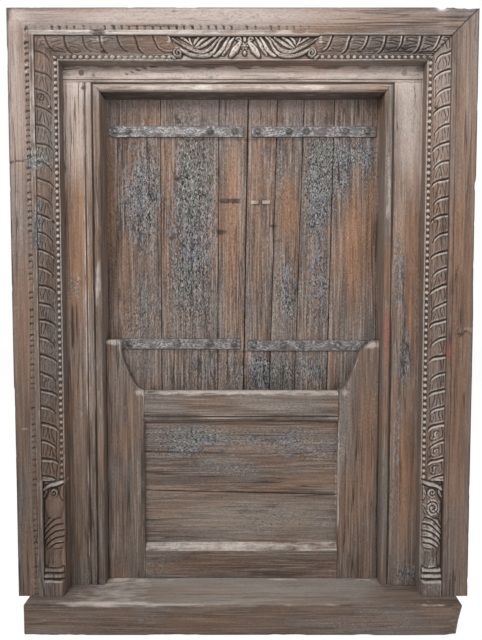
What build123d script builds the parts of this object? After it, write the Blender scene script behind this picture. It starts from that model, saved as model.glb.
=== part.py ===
"""Decorative wooden window with carved casing, guard panel and two plank leaves.

Millimetres. X runs to the right, Y into the wall, Z up.
Z is zero under the sill, Y is zero on the front of the jambs.
"""

import os

from build123d import *

os.makedirs("parts", exist_ok=True)

# Opening and structural frame
opening_half = 316.0
opening_high = 1117.0
jamb_wide = 108.0
head_high = 92.0
head_show = 53.0
rebate_wide = 16.0
rebate_front = 61.0
rebate_deep = 27.0
rebate_head = 15.0
bead_radius = 9.0
bead_arc_wide = 16.0
quirk_wide = 2.5
quirk_deep = 3.0
reed_wide = 14.0
head_line_rise = 22.0
tenon_inset = 8.0
tenon_wide = 60.0
tenon_front = 24.0
tenon_thick = 32.0
tenon_long = 44.0
tenon_end_room = 1.0
peg_inset = 15.0
peg_rise = 19.5
peg_radius = 6.0
peg_long = 74.0
peg_proud = 0.8
peg_room = 0.25
peg_facets = 8

# Sill
sill_high = 71.0
sill_horn = 51.0
sill_nose = 79.0
sill_back_show = 2.0
sill_end_slant = 12.0
sill_edge = 4.0

# Casing section, measured from its outer edge inwards
casing_wide = 104.0
casing_lap = 28.0
flat_deep = 46.0
flat_share = 6 / 13
fillet_share = 5 / 52
fillet_proud = 3.0
leaf_share = 35 / 104
leaf_mid_share = 4 / 7
leaf_out_drop = 5.0
leaf_mid_drop = 8.0
leaf_in_drop = 16.5
pearl_high = 5.5
pearl_shoulder_high = 4.6
pearl_side_room = 1.0
pearl_pitch = 13.6
pearl_flank = 3.2
leaf_pitch = 40.0
leaf_slant = 16.0
leaf_cut_inset = 2.0
leaf_cut_half = 5.0
leaf_cut_deep = 5.0
overrun = 6.0

# Crest in the middle of the top casing, its outlines as shares of half width and height
crest_center = 4.0
crest_half = 156.0
crest_root = 4.5
crest_rise = 14.5
crest_low_rise = 10.5
boss_facets = 8
flower_radius = 8.0
petal_radius = 6.5
volute_radius = 9.5
volute_eye_radius = 4.0
flower_height_share = 0.46
volute_place_shares = (0.904, 0.22)
lobe_shares = ((0.064, 0.2), (0.077, 0.57), (0.115, 0.83), (0.173, 0.85), (0.19, 0.65), (0.115, 0.17))
blade_a_shares = ((0.154, 0.13), (0.23, 0.39), (0.256, 0.7), (0.295, 0.96), (0.218, 0.87), (0.199, 0.57))
blade_b_shares = ((0.218, 0.11), (0.32, 0.35), (0.36, 0.65), (0.423, 0.96), (0.327, 0.89), (0.282, 0.57))
blade_c_shares = ((0.295, 0.11), (0.436, 0.33), (0.487, 0.61), (0.577, 0.91), (0.455, 0.89), (0.385, 0.57))
blade_d_shares = ((0.397, 0.09), (0.55, 0.26), (0.628, 0.52), (0.724, 0.78), (0.603, 0.83), (0.5, 0.52))
stem_shares = (
    (0.09, 0.04),
    (0.295, 0.01),
    (0.577, 0.11),
    (0.718, 0.33),
    (0.795, 0.52),
    (0.885, 0.59),
    (0.962, 0.43),
    (0.98, 0.63),
    (0.897, 0.78),
    (0.769, 0.74),
    (0.667, 0.48),
    (0.55, 0.24),
    (0.295, 0.13),
)

# Feet of the side casings, outlines as shares of foot width and height
foot_high = 258.0
foot_root = 8.5
foot_rise = 11.0
neck_rise = 7.5
plinth_high = 35.0
plinth_rise = 14.5
plinth_side = 1.0
cushion_gap = 3.0
cushion_high = 24.0
cushion_rise = 12.5
cushion_bevel = 7.0
rosette_radius = 7.0
rosette_place_shares = (0.5, 0.903)
neck_shares = (
    (0.17, 0.236),
    (0.09, 0.29),
    (0.26, 0.337),
    (0.26, 0.41),
    (0.76, 0.41),
    (0.76, 0.337),
    (0.93, 0.29),
    (0.85, 0.236),
)
twist_shares = (
    (0.22, 0.407),
    (0.055, 0.484),
    (0.055, 0.585),
    (0.24, 0.674),
    (0.78, 0.674),
    (0.955, 0.585),
    (0.955, 0.484),
    (0.78, 0.407),
)
vase_shares = (
    (0.24, 0.674),
    (0.065, 0.74),
    (0.085, 0.802),
    (0.3, 0.857),
    (0.72, 0.857),
    (0.915, 0.802),
    (0.935, 0.74),
    (0.78, 0.674),
)
outer_tip_shares = ((0.065, 0.826), (0.043, 0.91), (0.196, 0.992), (0.37, 0.91), (0.3, 0.85))
inner_tip_shares = ((0.935, 0.826), (0.957, 0.91), (0.804, 0.992), (0.63, 0.91), (0.7, 0.85))
twist_cut_shares = (0.446, 0.512, 0.578)
twist_cut_rise = 22.0
twist_cut_half = 3.2
twist_cut_deep = 4.5

# Casing nails, placed as shares of the jamb height and of the opening
casing_nail_side = 5.0
casing_nail_room = 0.2
casing_nail_inset = 18.0
casing_nail_head_drop = 8.0
casing_nail_long = 78.0
side_nail_shares = (0.277, 0.509, 0.742, 0.957)
top_nail_shares = (-0.95, 0.79)

# Guard panel
guard_front = 31.0
guard_thick = 22.0
left_stile_wide = 87.0
right_stile_wide = 94.0
ear_rise = 564.0
shaped_foot_rise = 447.0
left_ear_wide = 34.0
left_ear_corner = 6.0
left_ear_turn_rise = 535.0
left_curve_shares = (0.64, 0.51)
right_ear_wide = 10.0
right_shoulder_wide = 46.0
right_shoulder_rise = 535.0
right_curve_shares = (0.56, 0.55)
rail_rise = 374.0
rail_high = 71.0
rail_round = 13.0
rail_bead_high = 8.0
low_rail_face = 67.0
low_rail_bevel = 17.0
board_thick = 10.0
board_lap = 10.0
board_split_left = 123.0
board_split_right = 112.0
board_joint = 0.8
guard_tenon_inset = 3.5
guard_tenon_thick = 7.0
guard_tenon_long = 40.0
top_tenon_inset = 11.0
top_tenon_high = 44.0
low_tenon_inset = 15.0
low_tenon_high = 46.0
stile_groove_offset = 14.0

# Leaves: plank edges as shares of half the opening, first under the head, then on the sill
leaf_room = 1.0
leaf_thick = 24.0
leaf_floor_room = 3.0
leaf_head_lap = 13.0
pivot_inset = 3.0
pivot_radius = 10.0
pivot_room = 0.3
top_pivot_long = 22.0
top_socket_deep = 26.0
low_pivot_long = 20.7
plank_joint = 0.8
meeting_gap = 2.2
left_edge_one_shares = (-0.6035, -0.607)
left_edge_two_shares = (-0.1734, -0.1981)
meeting_shares = (0.042, -0.0193)
right_edge_one_shares = (0.257, 0.1655)
right_edge_two_shares = (0.4516, 0.3468)
right_edge_three_shares = (0.6756, 0.6003)

# Iron straps and the places of their nails as shares of strap length
strap_thick = 3.0
strap_high = 28.0
strap_round = 13.0
strap_hang_inset = 6.0
strap_meet_inset = 8.0
upper_strap_drop = 85.0
middle_strap_rise = 549.0
right_middle_drop = 4.0
lower_strap_rise = 88.0
left_upper_nail_shares = (0.045, 0.146, 0.75, 0.935)
left_middle_nail_shares = (0.14, 0.515, 0.765, 0.955)
left_lower_nail_shares = (0.14, 0.515, 0.74, 0.93)
right_upper_nail_shares = (0.05, 0.3, 0.438, 0.755, 0.928)
right_middle_nail_shares = (0.05, 0.28, 0.428, 0.715, 0.93)
right_lower_nail_shares = (0.065, 0.262, 0.45, 0.735, 0.93)

# Forged nails
nail_head_radius = 6.2
nail_head_high = 3.2
nail_head_taper = 38.0
nail_facets = 6
nail_side = 4.4
nail_room = 0.2
clench_long = 14.0
clench_thick = 2.6
plank_nail_share = -0.475
plank_nail_drop = 60.0

# Clenched staples at the meeting edges
staple_side = 5.0
staple_room = 0.2
staple_leg_half = 7.0
staple_prong_long = 15.0
staple_prong_thick = 3.4
staple_prong_high = 8.0
staple_bow_long = 24.0
left_staple_inset = 38.0
right_staple_inset = 31.0
left_staple_rise = 884.0
right_staple_rise = 880.0

# Shared derived values
opening_top = sill_high + opening_high
jamb_outer_half = opening_half + jamb_wide
frame_depth = rebate_front + rebate_deep
head_top = opening_top + head_high
rebate_half = opening_half + rebate_wide
bead_wide = bead_arc_wide + quirk_wide
joint_z = opening_top + bead_wide
tenon_inner = rebate_half + tenon_inset
tenon_outer = tenon_inner + tenon_wide
tenon_back = tenon_front + tenon_thick
peg_x = tenon_inner + peg_inset
peg_z = joint_z + peg_rise
sill_half = jamb_outer_half + sill_horn
sill_back = frame_depth + sill_back_show
casing_inner_half = jamb_outer_half - casing_lap
casing_half = casing_inner_half + casing_wide
casing_inner_top = opening_top + head_show
casing_top = casing_inner_top + casing_wide
fillet_out = casing_wide * flat_share
fillet_wide = casing_wide * fillet_share
leaf_wide = casing_wide * leaf_share
leaf_mid_run = leaf_wide * leaf_mid_share
fillet_in = fillet_out + fillet_wide
fillet_deep = flat_deep + fillet_proud
leaf_in = fillet_in + leaf_wide
leaf_mid = fillet_in + leaf_mid_run
leaf_out_deep = fillet_deep - leaf_out_drop
leaf_mid_deep = fillet_deep - leaf_mid_drop
pearl_floor_deep = fillet_deep - leaf_in_drop
carved_wide = casing_wide - fillet_in
leaf_reach = leaf_slant + leaf_cut_half
foot_top = sill_high + foot_high
guard_back = guard_front + guard_thick
guard_left_inner = opening_half - left_stile_wide
guard_right_inner = opening_half - right_stile_wide
shaped_foot = sill_high + shaped_foot_rise
ear_top = sill_high + ear_rise
rail_bottom = sill_high + rail_rise
rail_top = rail_bottom + rail_high
low_rail_face_top = sill_high + low_rail_face
low_rail_top = low_rail_face_top + low_rail_bevel
board_front = guard_back - board_thick
guard_tenon_front = guard_front + guard_tenon_inset
guard_tenon_back = guard_tenon_front + guard_tenon_thick
leaf_front = rebate_front + leaf_room
leaf_back = leaf_front + leaf_thick
leaf_low = sill_high + leaf_floor_room
leaf_high = opening_top + leaf_head_lap
pivot_x = opening_half + pivot_inset
pivot_y = leaf_front + leaf_thick / 2
strap_front = leaf_front - strap_thick


def block(x0, x1, y0, y1, z0, z1):
    """Box between two corners."""
    middle = Pos((x0 + x1) / 2, (y0 + y1) / 2, (z0 + z1) / 2)
    return middle * Box(x1 - x0, y1 - y0, z1 - z0)


def along_x(points, x0, x1):
    """Prism along X from (y, z) points."""
    face = Plane.YZ * Polygon(*points, align=None)
    return Pos(x0, 0, 0) * extrude(face, amount=x1 - x0, dir=(1, 0, 0))


def along_y(points, y0, y1):
    """Prism along Y from (x, z) points."""
    face = Plane.XZ * Polygon(*points, align=None)
    return Pos(0, y0, 0) * extrude(face, amount=y1 - y0, dir=(0, 1, 0))


def edges_along_y(edges, y0, y1):
    """Prism along Y from edges drawn in (x, z)."""
    face = Plane.XZ * make_face(edges)
    return Pos(0, y0, 0) * extrude(face, amount=y1 - y0, dir=(0, 1, 0))


def edges_along_z(edges, z0, z1):
    """Prism along Z from edges drawn in (x, y)."""
    return Pos(0, 0, z0) * extrude(make_face(edges), amount=z1 - z0, dir=(0, 0, 1))


def rod_z(x, y, radius, z0, z1):
    """Round rod along Z."""
    return Pos(x, y, (z0 + z1) / 2) * Cylinder(radius, z1 - z0)


def facet_y(x, z, radius, facets, y0, y1):
    """Faceted rod along Y."""
    place = Plane(origin=(x, y0, z), x_dir=(1, 0, 0), z_dir=(0, 1, 0))
    return extrude(place * RegularPolygon(radius, facets), amount=y1 - y0, dir=(0, 1, 0))


def square_pin(x, z, side, y0, y1):
    """Square pin along Y."""
    return block(x - side / 2, x + side / 2, y0, y1, z - side / 2, z + side / 2)


def groove(start, end, half, deep):
    """Wedge along a line, to carve a V groove of a half width and depth into a front face."""
    run = end - start
    mouth = half * (deep + overrun) / deep
    place = Plane(origin=start, x_dir=(0, 0, 1), z_dir=run)
    wedge = Polygon((-mouth, overrun), (0, -deep), (mouth, overrun), align=None)
    return extrude(place * wedge, amount=run.length, dir=run)


def flip(shape):
    """The same shape on the other side of the middle plane."""
    return mirror(shape, about=Plane.YZ)


def keep(name, shape):
    """Write one node."""
    export_step(shape, "parts/" + name + ".step")


# Jambs: section drawn for the right side, with bead, quirk and leaf rebate
quirk_x = opening_half + bead_arc_wide
quirk_drop = bead_radius - (bead_radius**2 - (bead_arc_wide - bead_radius) ** 2) ** 0.5
bead_lean = bead_radius - bead_radius * 0.5**0.5
low_mortise_floor = sill_high - tenon_long - tenon_end_room
high_mortise_roof = joint_z + tenon_long + tenon_end_room
peg_hole = facet_y(peg_x, peg_z, peg_radius + peg_room, peg_facets, -overrun, peg_long + peg_room)


def jamb(with_reed):
    """Right-hand jamb with mitred bead and a tenon at each end."""
    bead = ThreePointArc(
        (opening_half, bead_radius),
        (opening_half + bead_lean, bead_lean),
        (quirk_x, quirk_drop),
    )
    flat_start = quirk_x + quirk_wide
    outline = [(quirk_x, quirk_drop), (flat_start, 0)]
    if with_reed:
        reed_end = flat_start + reed_wide
        outline.append((reed_end, 0))
        outline.append((reed_end + quirk_wide, quirk_deep))
        outline.append((reed_end + quirk_wide * 2, 0))
    outline.append((jamb_outer_half, 0))
    outline.append((jamb_outer_half, frame_depth))
    outline.append((rebate_half, frame_depth))
    outline.append((rebate_half, rebate_front))
    outline.append((opening_half, rebate_front))
    outline.append((opening_half, bead_radius))
    post = edges_along_z([bead, Polyline(*outline)], sill_high, joint_z)
    mitre = along_y(
        (
            (opening_half - overrun, opening_top - overrun),
            (opening_half + bead_wide, joint_z),
            (opening_half + bead_wide, joint_z + overrun),
            (opening_half - overrun, joint_z + overrun),
        ),
        -overrun,
        frame_depth + overrun,
    )
    top_tenon = block(tenon_inner, tenon_outer, tenon_front, tenon_back, joint_z, joint_z + tenon_long)
    low_tenon = block(tenon_inner, tenon_outer, tenon_front, tenon_back, sill_high - tenon_long, sill_high)
    return post - mitre + top_tenon + low_tenon - peg_hole


# Casing nail holes, shared by casing, jambs and head
casing_hole = casing_nail_side + casing_nail_room * 2
nail_head_y = casing_nail_head_drop - fillet_deep
nail_tip_y = nail_head_y + casing_nail_long
nail_u = casing_wide - casing_nail_inset
side_nail_x = casing_half - nail_u
top_nail_z = casing_top - nail_u
side_nail_zs = [sill_high + opening_high * share for share in side_nail_shares]
top_nail_xs = [opening_half * share for share in top_nail_shares]
hole_mouth = -fillet_deep - overrun
hole_floor = nail_tip_y + casing_nail_room
side_holes = [square_pin(side_nail_x, z, casing_hole, hole_mouth, hole_floor) for z in side_nail_zs]
top_holes = [square_pin(x, top_nail_z, casing_hole, hole_mouth, hole_floor) for x in top_nail_xs]

keep("right_jamb", jamb(False) - side_holes)
keep("left_jamb", flip(jamb(True) - side_holes))

# Head: bead along the lower edge, mitred ends, rebate and pivot sockets
head_bead = ThreePointArc(
    (quirk_drop, opening_top + bead_arc_wide),
    (bead_lean, opening_top + bead_lean),
    (bead_radius, opening_top),
)
line_z = opening_top + head_line_rise
head_outline = Polyline(
    (bead_radius, opening_top),
    (frame_depth, opening_top),
    (frame_depth, head_top),
    (0, head_top),
    (0, line_z + quirk_wide * 2),
    (quirk_deep, line_z + quirk_wide),
    (0, line_z),
    (0, joint_z),
    (quirk_drop, opening_top + bead_arc_wide),
)
head_face = Plane.YZ * make_face([head_bead, head_outline])
head = Pos(-jamb_outer_half, 0, 0) * extrude(head_face, amount=jamb_outer_half * 2, dir=(1, 0, 0))
corner = along_y(
    (
        (opening_half, opening_top),
        (opening_half + bead_wide, joint_z),
        (jamb_outer_half + overrun, joint_z),
        (jamb_outer_half + overrun, opening_top - overrun),
        (opening_half, opening_top - overrun),
    ),
    -overrun,
    frame_depth + overrun,
)
mortise = block(tenon_inner, tenon_outer, tenon_front, tenon_back, joint_z - overrun, high_mortise_roof)
socket_top = opening_top + rebate_head + top_socket_deep
socket = rod_z(pivot_x, pivot_y, pivot_radius + pivot_room, opening_top, socket_top)
head_cuts = [corner, mortise, socket, peg_hole]
head_rebate = block(
    -rebate_half,
    rebate_half,
    rebate_front,
    frame_depth + overrun,
    opening_top - overrun,
    opening_top + rebate_head,
)
head = head - head_cuts - [flip(cut) for cut in head_cuts] - head_rebate - top_holes
keep("head", head)

# Sill: slanting right end, eased front edge, mortises and pivot sockets
sill = along_y(
    ((-sill_half, 0), (sill_half - sill_end_slant, 0), (sill_half, sill_high), (-sill_half, sill_high)),
    -sill_nose,
    sill_back,
)
sill_front_edge = sill.edges().filter_by(Axis.X).group_by(Axis.Z)[-1].sort_by(Axis.Y)[0]
sill = chamfer(sill_front_edge, sill_edge)
sill_mortise = block(
    tenon_inner, tenon_outer, tenon_front, tenon_back, low_mortise_floor, sill_high + overrun
)
socket_floor = leaf_low - low_pivot_long - pivot_room
sill_socket = rod_z(pivot_x, pivot_y, pivot_radius + pivot_room, socket_floor, sill_high + overrun)
sill = sill - [sill_mortise, sill_socket, flip(sill_mortise), flip(sill_socket)]
keep("sill", sill)

# Whittled pegs through head and tenon
right_peg = facet_y(peg_x, peg_z, peg_radius, peg_facets, -peg_proud, peg_long)
keep("joint_pegs", Compound(children=[flip(right_peg), right_peg]))

# Casing stick: local X from outer edge inwards, local Z along its length
casing_section = (
    (0, 0),
    (0, -flat_deep),
    (fillet_out, -flat_deep),
    (fillet_out, -fillet_deep),
    (fillet_in, -fillet_deep),
    (fillet_in, -leaf_out_deep),
    (leaf_mid, -leaf_mid_deep),
    (leaf_in, -pearl_floor_deep),
    (casing_wide, -pearl_floor_deep),
    (casing_wide, 0),
)


def stick(s0, s1):
    """Plain moulded casing between two places along its length."""
    face = Polygon(*casing_section, align=None)
    return Pos(0, 0, s0) * extrude(face, amount=s1 - s0, dir=(0, 0, 1))


def carved_floor(s0, s1):
    """Cut that takes the leaf strip down to the floor of the pearls."""
    return block(fillet_in, casing_wide + overrun, -fillet_deep - overrun, -pearl_floor_deep, s0, s1)


def pearls(s0, s1):
    """Row of carved pearls between two places."""
    count = int((s1 - s0) / pearl_pitch)
    start = (s0 + s1 - count * pearl_pitch) / 2
    root = -pearl_floor_deep + pearl_high
    shoulder = -pearl_floor_deep - pearl_shoulder_high
    crown = -pearl_floor_deep - pearl_high
    points = [(root, start), (-pearl_floor_deep, start)]
    for number in range(count):
        low = start + number * pearl_pitch
        points.append((shoulder, low + pearl_flank))
        points.append((crown, low + pearl_pitch / 2))
        points.append((shoulder, low + pearl_pitch - pearl_flank))
        points.append((-pearl_floor_deep, low + pearl_pitch))
    points.append((root, start + count * pearl_pitch))
    return along_x(points, leaf_in + pearl_side_room, casing_wide - pearl_side_room)


def leaf_cuts(s0, s1, slant):
    """Slanting grooves that part the carved leaves."""
    count = int((s1 - s0) / leaf_pitch)
    start = (s0 + s1 - count * leaf_pitch) / 2
    cuts = []
    for number in range(count + 1):
        place = start + number * leaf_pitch
        low = Vector(fillet_in + leaf_cut_inset, -leaf_out_deep, place)
        high = Vector(leaf_in, -pearl_floor_deep, place + slant)
        cuts.append(groove(low, high, leaf_cut_half, leaf_cut_deep))
    return cuts


def foot_points(shares):
    """Points of a foot outline from shares of its width and height."""
    return [(fillet_in + carved_wide * across, sill_high + foot_high * up) for across, up in shares]


def foot():
    """Carved foot of a side casing: plinth, cushion, neck, twisted leaf, vase, tips and rosette."""
    root = -pearl_floor_deep + foot_root
    front = -pearl_floor_deep - foot_rise
    plinth_top = sill_high + plinth_high
    plinth = block(
        fillet_in - plinth_side, casing_wide, -pearl_floor_deep - plinth_rise, root, sill_high, plinth_top
    )
    cushion_low = plinth_top + cushion_gap
    cushion_front = -pearl_floor_deep - cushion_rise
    cushion_side = plinth_side
    cushion = block(
        fillet_in + cushion_side,
        casing_wide - cushion_side,
        cushion_front,
        root,
        cushion_low,
        cushion_low + cushion_high,
    )
    cushion = chamfer(cushion.edges().filter_by(Axis.X).sort_by(Axis.Y)[:2], cushion_bevel)
    neck_low = block(
        fillet_in + cushion_side, casing_wide - cushion_side, front, root, plinth_top, cushion_low
    )
    neck = along_y(foot_points(neck_shares), -pearl_floor_deep - neck_rise, root)
    twist = along_y(foot_points(twist_shares), front, root)
    for share in twist_cut_shares:
        low = Vector(fillet_in, front, sill_high + foot_high * share)
        high = Vector(casing_wide, front, sill_high + foot_high * share + twist_cut_rise)
        twist = twist - groove(low, high, twist_cut_half, twist_cut_deep)
    vase = along_y(foot_points(vase_shares), front, root)
    outer_tip = along_y(foot_points(outer_tip_shares), front, root)
    inner_tip = along_y(foot_points(inner_tip_shares), front, root)
    rosette_u, rosette_z = foot_points([rosette_place_shares])[0]
    rosette = facet_y(rosette_u, rosette_z, rosette_radius, boss_facets, front, root)
    return [plinth, neck_low, cushion, neck, twist, vase, outer_tip, inner_tip, rosette]


def side_casing():
    """Left-hand side casing in local coordinates."""
    body = stick(sill_high, casing_top)
    body = body - carved_floor(sill_high - overrun, foot_top)
    body = body - leaf_cuts(foot_top + leaf_reach, casing_inner_top + leaf_slant, -leaf_slant)
    body = body + pearls(foot_top, casing_inner_top) + foot()
    mitre = along_y(
        (
            (-overrun, casing_top + overrun),
            (casing_wide + overrun, casing_inner_top - overrun),
            (casing_wide + overrun, casing_top + overrun),
        ),
        -fillet_deep - overrun,
        overrun,
    )
    holes = [square_pin(nail_u, z, casing_hole, hole_mouth, overrun) for z in side_nail_zs]
    return body - mitre - holes


left_casing = Pos(-casing_half, 0, 0) * side_casing()
keep("left_casing", left_casing)
keep("right_casing", flip(left_casing))


def crest_points(shares):
    """Points of a crest outline from shares of its half width and height."""
    return [(crest_half * across, casing_inner_top + carved_wide * up) for across, up in shares]


def crest():
    """Carved crest: flower, lobes, fanned blades and scrolled stems ending in volutes."""
    root = -pearl_floor_deep + crest_root
    high = -pearl_floor_deep - crest_rise
    low = -pearl_floor_deep - crest_low_rise
    half = [
        along_y(crest_points(lobe_shares), high, root),
        along_y(crest_points(blade_a_shares), low, root),
        along_y(crest_points(blade_b_shares), high, root),
        along_y(crest_points(blade_c_shares), low, root),
        along_y(crest_points(blade_d_shares), high, root),
        along_y(crest_points(stem_shares), high, root),
    ]
    eye_x, eye_z = crest_points([volute_place_shares])[0]
    half.append(facet_y(eye_x, eye_z, volute_radius, boss_facets, low, root))
    half.append(facet_y(eye_x, eye_z, volute_eye_radius, boss_facets, high, root))
    flower_z = casing_inner_top + carved_wide * flower_height_share
    flower = facet_y(0, flower_z, flower_radius, boss_facets, high, root)
    petal_z = flower_z + flower_radius + petal_radius / 2
    petal = facet_y(0, petal_z, petal_radius, boss_facets, low, root)
    pieces = half + [flip(piece) for piece in half] + [flower, petal]
    return [Pos(crest_center, 0, 0) * piece for piece in pieces]


# Top casing: stick turned to run along X
crest_left = crest_center - crest_half
crest_right = crest_center + crest_half
top_stick = stick(-casing_half, casing_half) - carved_floor(crest_left, crest_right)
top_stick = top_stick - leaf_cuts(-casing_inner_half, crest_left - leaf_reach, leaf_slant)
top_stick = top_stick - leaf_cuts(crest_right + leaf_reach, casing_inner_half, -leaf_slant)
top_stick = top_stick + pearls(-casing_inner_half, crest_left) + pearls(crest_right, casing_inner_half)
top_casing = Pos(0, 0, casing_top) * Rot(0, 90, 0) * top_stick
top_casing = top_casing + crest()
top_mitre = along_y(
    (
        (casing_half + overrun, casing_top + overrun),
        (casing_inner_half - overrun, casing_inner_top - overrun),
        (casing_half + overrun, casing_inner_top - overrun),
    ),
    -fillet_deep - overrun,
    overrun,
)
top_casing = top_casing - top_mitre - flip(top_mitre) - top_holes
keep("top_casing", top_casing)

# Casing nails
right_nails = [square_pin(side_nail_x, z, casing_nail_side, nail_head_y, nail_tip_y) for z in side_nail_zs]
left_nails = [flip(nail) for nail in right_nails]
top_nails = [square_pin(x, top_nail_z, casing_nail_side, nail_head_y, nail_tip_y) for x in top_nail_xs]
keep("casing_nails", Compound(children=right_nails + left_nails + top_nails))

# Guard panel stiles with shaped ears
left_turn = (-opening_half + left_ear_wide, sill_high + left_ear_turn_rise)
left_mid = (
    -opening_half + left_ear_wide + (left_stile_wide - left_ear_wide) * (1 - left_curve_shares[0]),
    shaped_foot + (left_ear_turn_rise - shaped_foot_rise) * left_curve_shares[1],
)
left_stile = edges_along_y(
    [
        Polyline(
            (-guard_left_inner, shaped_foot),
            (-guard_left_inner, sill_high),
            (-opening_half, sill_high),
            (-opening_half, ear_top),
            (-opening_half + left_ear_wide - left_ear_corner, ear_top),
            (-opening_half + left_ear_wide, ear_top - left_ear_corner),
            left_turn,
        ),
        ThreePointArc(left_turn, left_mid, (-guard_left_inner, shaped_foot)),
    ],
    guard_front,
    guard_back,
)
right_turn = (opening_half - right_shoulder_wide, sill_high + right_shoulder_rise)
right_mid = (
    guard_right_inner + (right_stile_wide - right_shoulder_wide) * right_curve_shares[0],
    shaped_foot + (right_shoulder_rise - shaped_foot_rise) * right_curve_shares[1],
)
right_stile = edges_along_y(
    [
        Polyline(
            (guard_right_inner, shaped_foot),
            (guard_right_inner, sill_high),
            (opening_half, sill_high),
            (opening_half, ear_top),
            (opening_half - right_ear_wide, ear_top),
            right_turn,
        ),
        ThreePointArc(right_turn, right_mid, (guard_right_inner, shaped_foot)),
    ],
    guard_front,
    guard_back,
)
board_left = -guard_left_inner - board_lap
board_right = guard_right_inner + board_lap
board_low = low_rail_top - board_lap
board_high = rail_bottom + board_lap
board_rebate = block(board_left, board_right, board_front, guard_back + overrun, board_low, board_high)
tenon_left = -guard_left_inner - guard_tenon_long
tenon_right = guard_right_inner + guard_tenon_long
top_tenon_low = rail_bottom + top_tenon_inset
low_tenon_low = sill_high + low_tenon_inset


def rail_tenon(low, high, end_room):
    """Tenons at both ends of a guard rail, or their mortises with end room."""
    return block(tenon_left - end_room, tenon_right + end_room, guard_tenon_front, guard_tenon_back, low, high)


mortises = [
    rail_tenon(top_tenon_low, top_tenon_low + top_tenon_high, tenon_end_room),
    rail_tenon(low_tenon_low, low_tenon_low + low_tenon_high, tenon_end_room),
]
groove_x = guard_right_inner + stile_groove_offset
stile_groove = edges_along_z(
    [
        Polyline(
            (groove_x, guard_front - quirk_deep),
            (groove_x + quirk_wide * 2, guard_front - quirk_deep),
            (groove_x + quirk_wide, guard_front + quirk_deep),
            close=True,
        )
    ],
    low_rail_top,
    rail_bottom,
)
keep("guard_left_stile", left_stile - board_rebate - mortises)
keep("guard_right_stile", right_stile - board_rebate - mortises - stile_groove)

# Guard rails with tenons
top_rail = block(-guard_left_inner, guard_right_inner, guard_front, guard_back, rail_bottom, rail_top)
worn_edge = top_rail.edges().filter_by(Axis.X).group_by(Axis.Z)[-1].sort_by(Axis.Y)[0]
top_rail = fillet(worn_edge, rail_round)
bead_z = rail_bottom + rail_bead_high
rail_quirk = along_x(
    (
        (guard_front - quirk_deep, bead_z),
        (guard_front + quirk_deep, bead_z + quirk_wide),
        (guard_front - quirk_deep, bead_z + quirk_wide * 2),
    ),
    -guard_left_inner - overrun,
    guard_right_inner + overrun,
)
top_rail = top_rail - rail_quirk - board_rebate
top_rail = top_rail + rail_tenon(top_tenon_low, top_tenon_low + top_tenon_high, 0)
keep("guard_top_rail", top_rail)

low_rail = along_x(
    (
        (guard_front, sill_high),
        (guard_back, sill_high),
        (guard_back, low_rail_top),
        (board_front, low_rail_top),
        (guard_front, low_rail_face_top),
    ),
    -guard_left_inner,
    guard_right_inner,
)
low_rail = low_rail - board_rebate + rail_tenon(low_tenon_low, low_tenon_low + low_tenon_high, 0)
keep("guard_bottom_rail", low_rail)

# Guard boards, their joint running slightly downhill to the right
split_left = low_rail_top + board_split_left
split_right = low_rail_top + board_split_right
half_joint = board_joint / 2
upper_board = along_y(
    (
        (board_left, split_left + half_joint),
        (board_right, split_right + half_joint),
        (board_right, board_high),
        (board_left, board_high),
    ),
    board_front,
    guard_back,
)
lower_board = along_y(
    (
        (board_left, board_low),
        (board_right, board_low),
        (board_right, split_right - half_joint),
        (board_left, split_left - half_joint),
    ),
    board_front,
    guard_back,
)
keep("guard_upper_board", upper_board)
keep("guard_lower_board", lower_board)


# Leaves
def edge(shares, offset):
    """Plank edge as x under the head and x on the sill, moved sideways by an offset."""
    return opening_half * shares[0] + offset, opening_half * shares[1] + offset


def edge_at(line, z):
    """Place of a slanting plank edge at a height."""
    return line[1] + (line[0] - line[1]) * (z - leaf_low) / (leaf_high - leaf_low)


def plank(left_line, right_line):
    """Plank between two slightly slanting edges."""
    outline = (
        (left_line[1], leaf_low),
        (right_line[1], leaf_low),
        (right_line[0], leaf_high),
        (left_line[0], leaf_high),
    )
    return along_y(outline, leaf_front, leaf_back)


def hanging_edge(x):
    """Half-round hanging edge with its two pivots."""
    rounded = rod_z(x, pivot_y, leaf_thick / 2, leaf_low, leaf_high)
    top = rod_z(x, pivot_y, pivot_radius, leaf_high, leaf_high + top_pivot_long)
    low = rod_z(x, pivot_y, pivot_radius, leaf_low - low_pivot_long, leaf_low)
    return [rounded, top, low]


def strap(x0, x1, z):
    """Iron strap on the face of a leaf."""
    return block(x0, x1, strap_front, leaf_front, z - strap_high / 2, z + strap_high / 2)


def nail(x, z, seat):
    """Forged nail through strap and plank, clenched along the grain at the back."""
    head_plane = Plane(origin=(x, seat, z), x_dir=(1, 0, 0), z_dir=(0, -1, 0))
    rose = RegularPolygon(nail_head_radius, nail_facets)
    top = extrude(head_plane * rose, amount=nail_head_high, taper=nail_head_taper)
    shank = square_pin(x, z, nail_side, seat, leaf_back + clench_thick)
    half = nail_side / 2
    clench = block(x - half, x + half, leaf_back, leaf_back + clench_thick, z - clench_long, z + half)
    return top + shank + clench


def nail_hole(x, z):
    """Square hole for a forged nail."""
    return square_pin(x, z, nail_side + nail_room * 2, strap_front - overrun, leaf_back + overrun)


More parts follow.
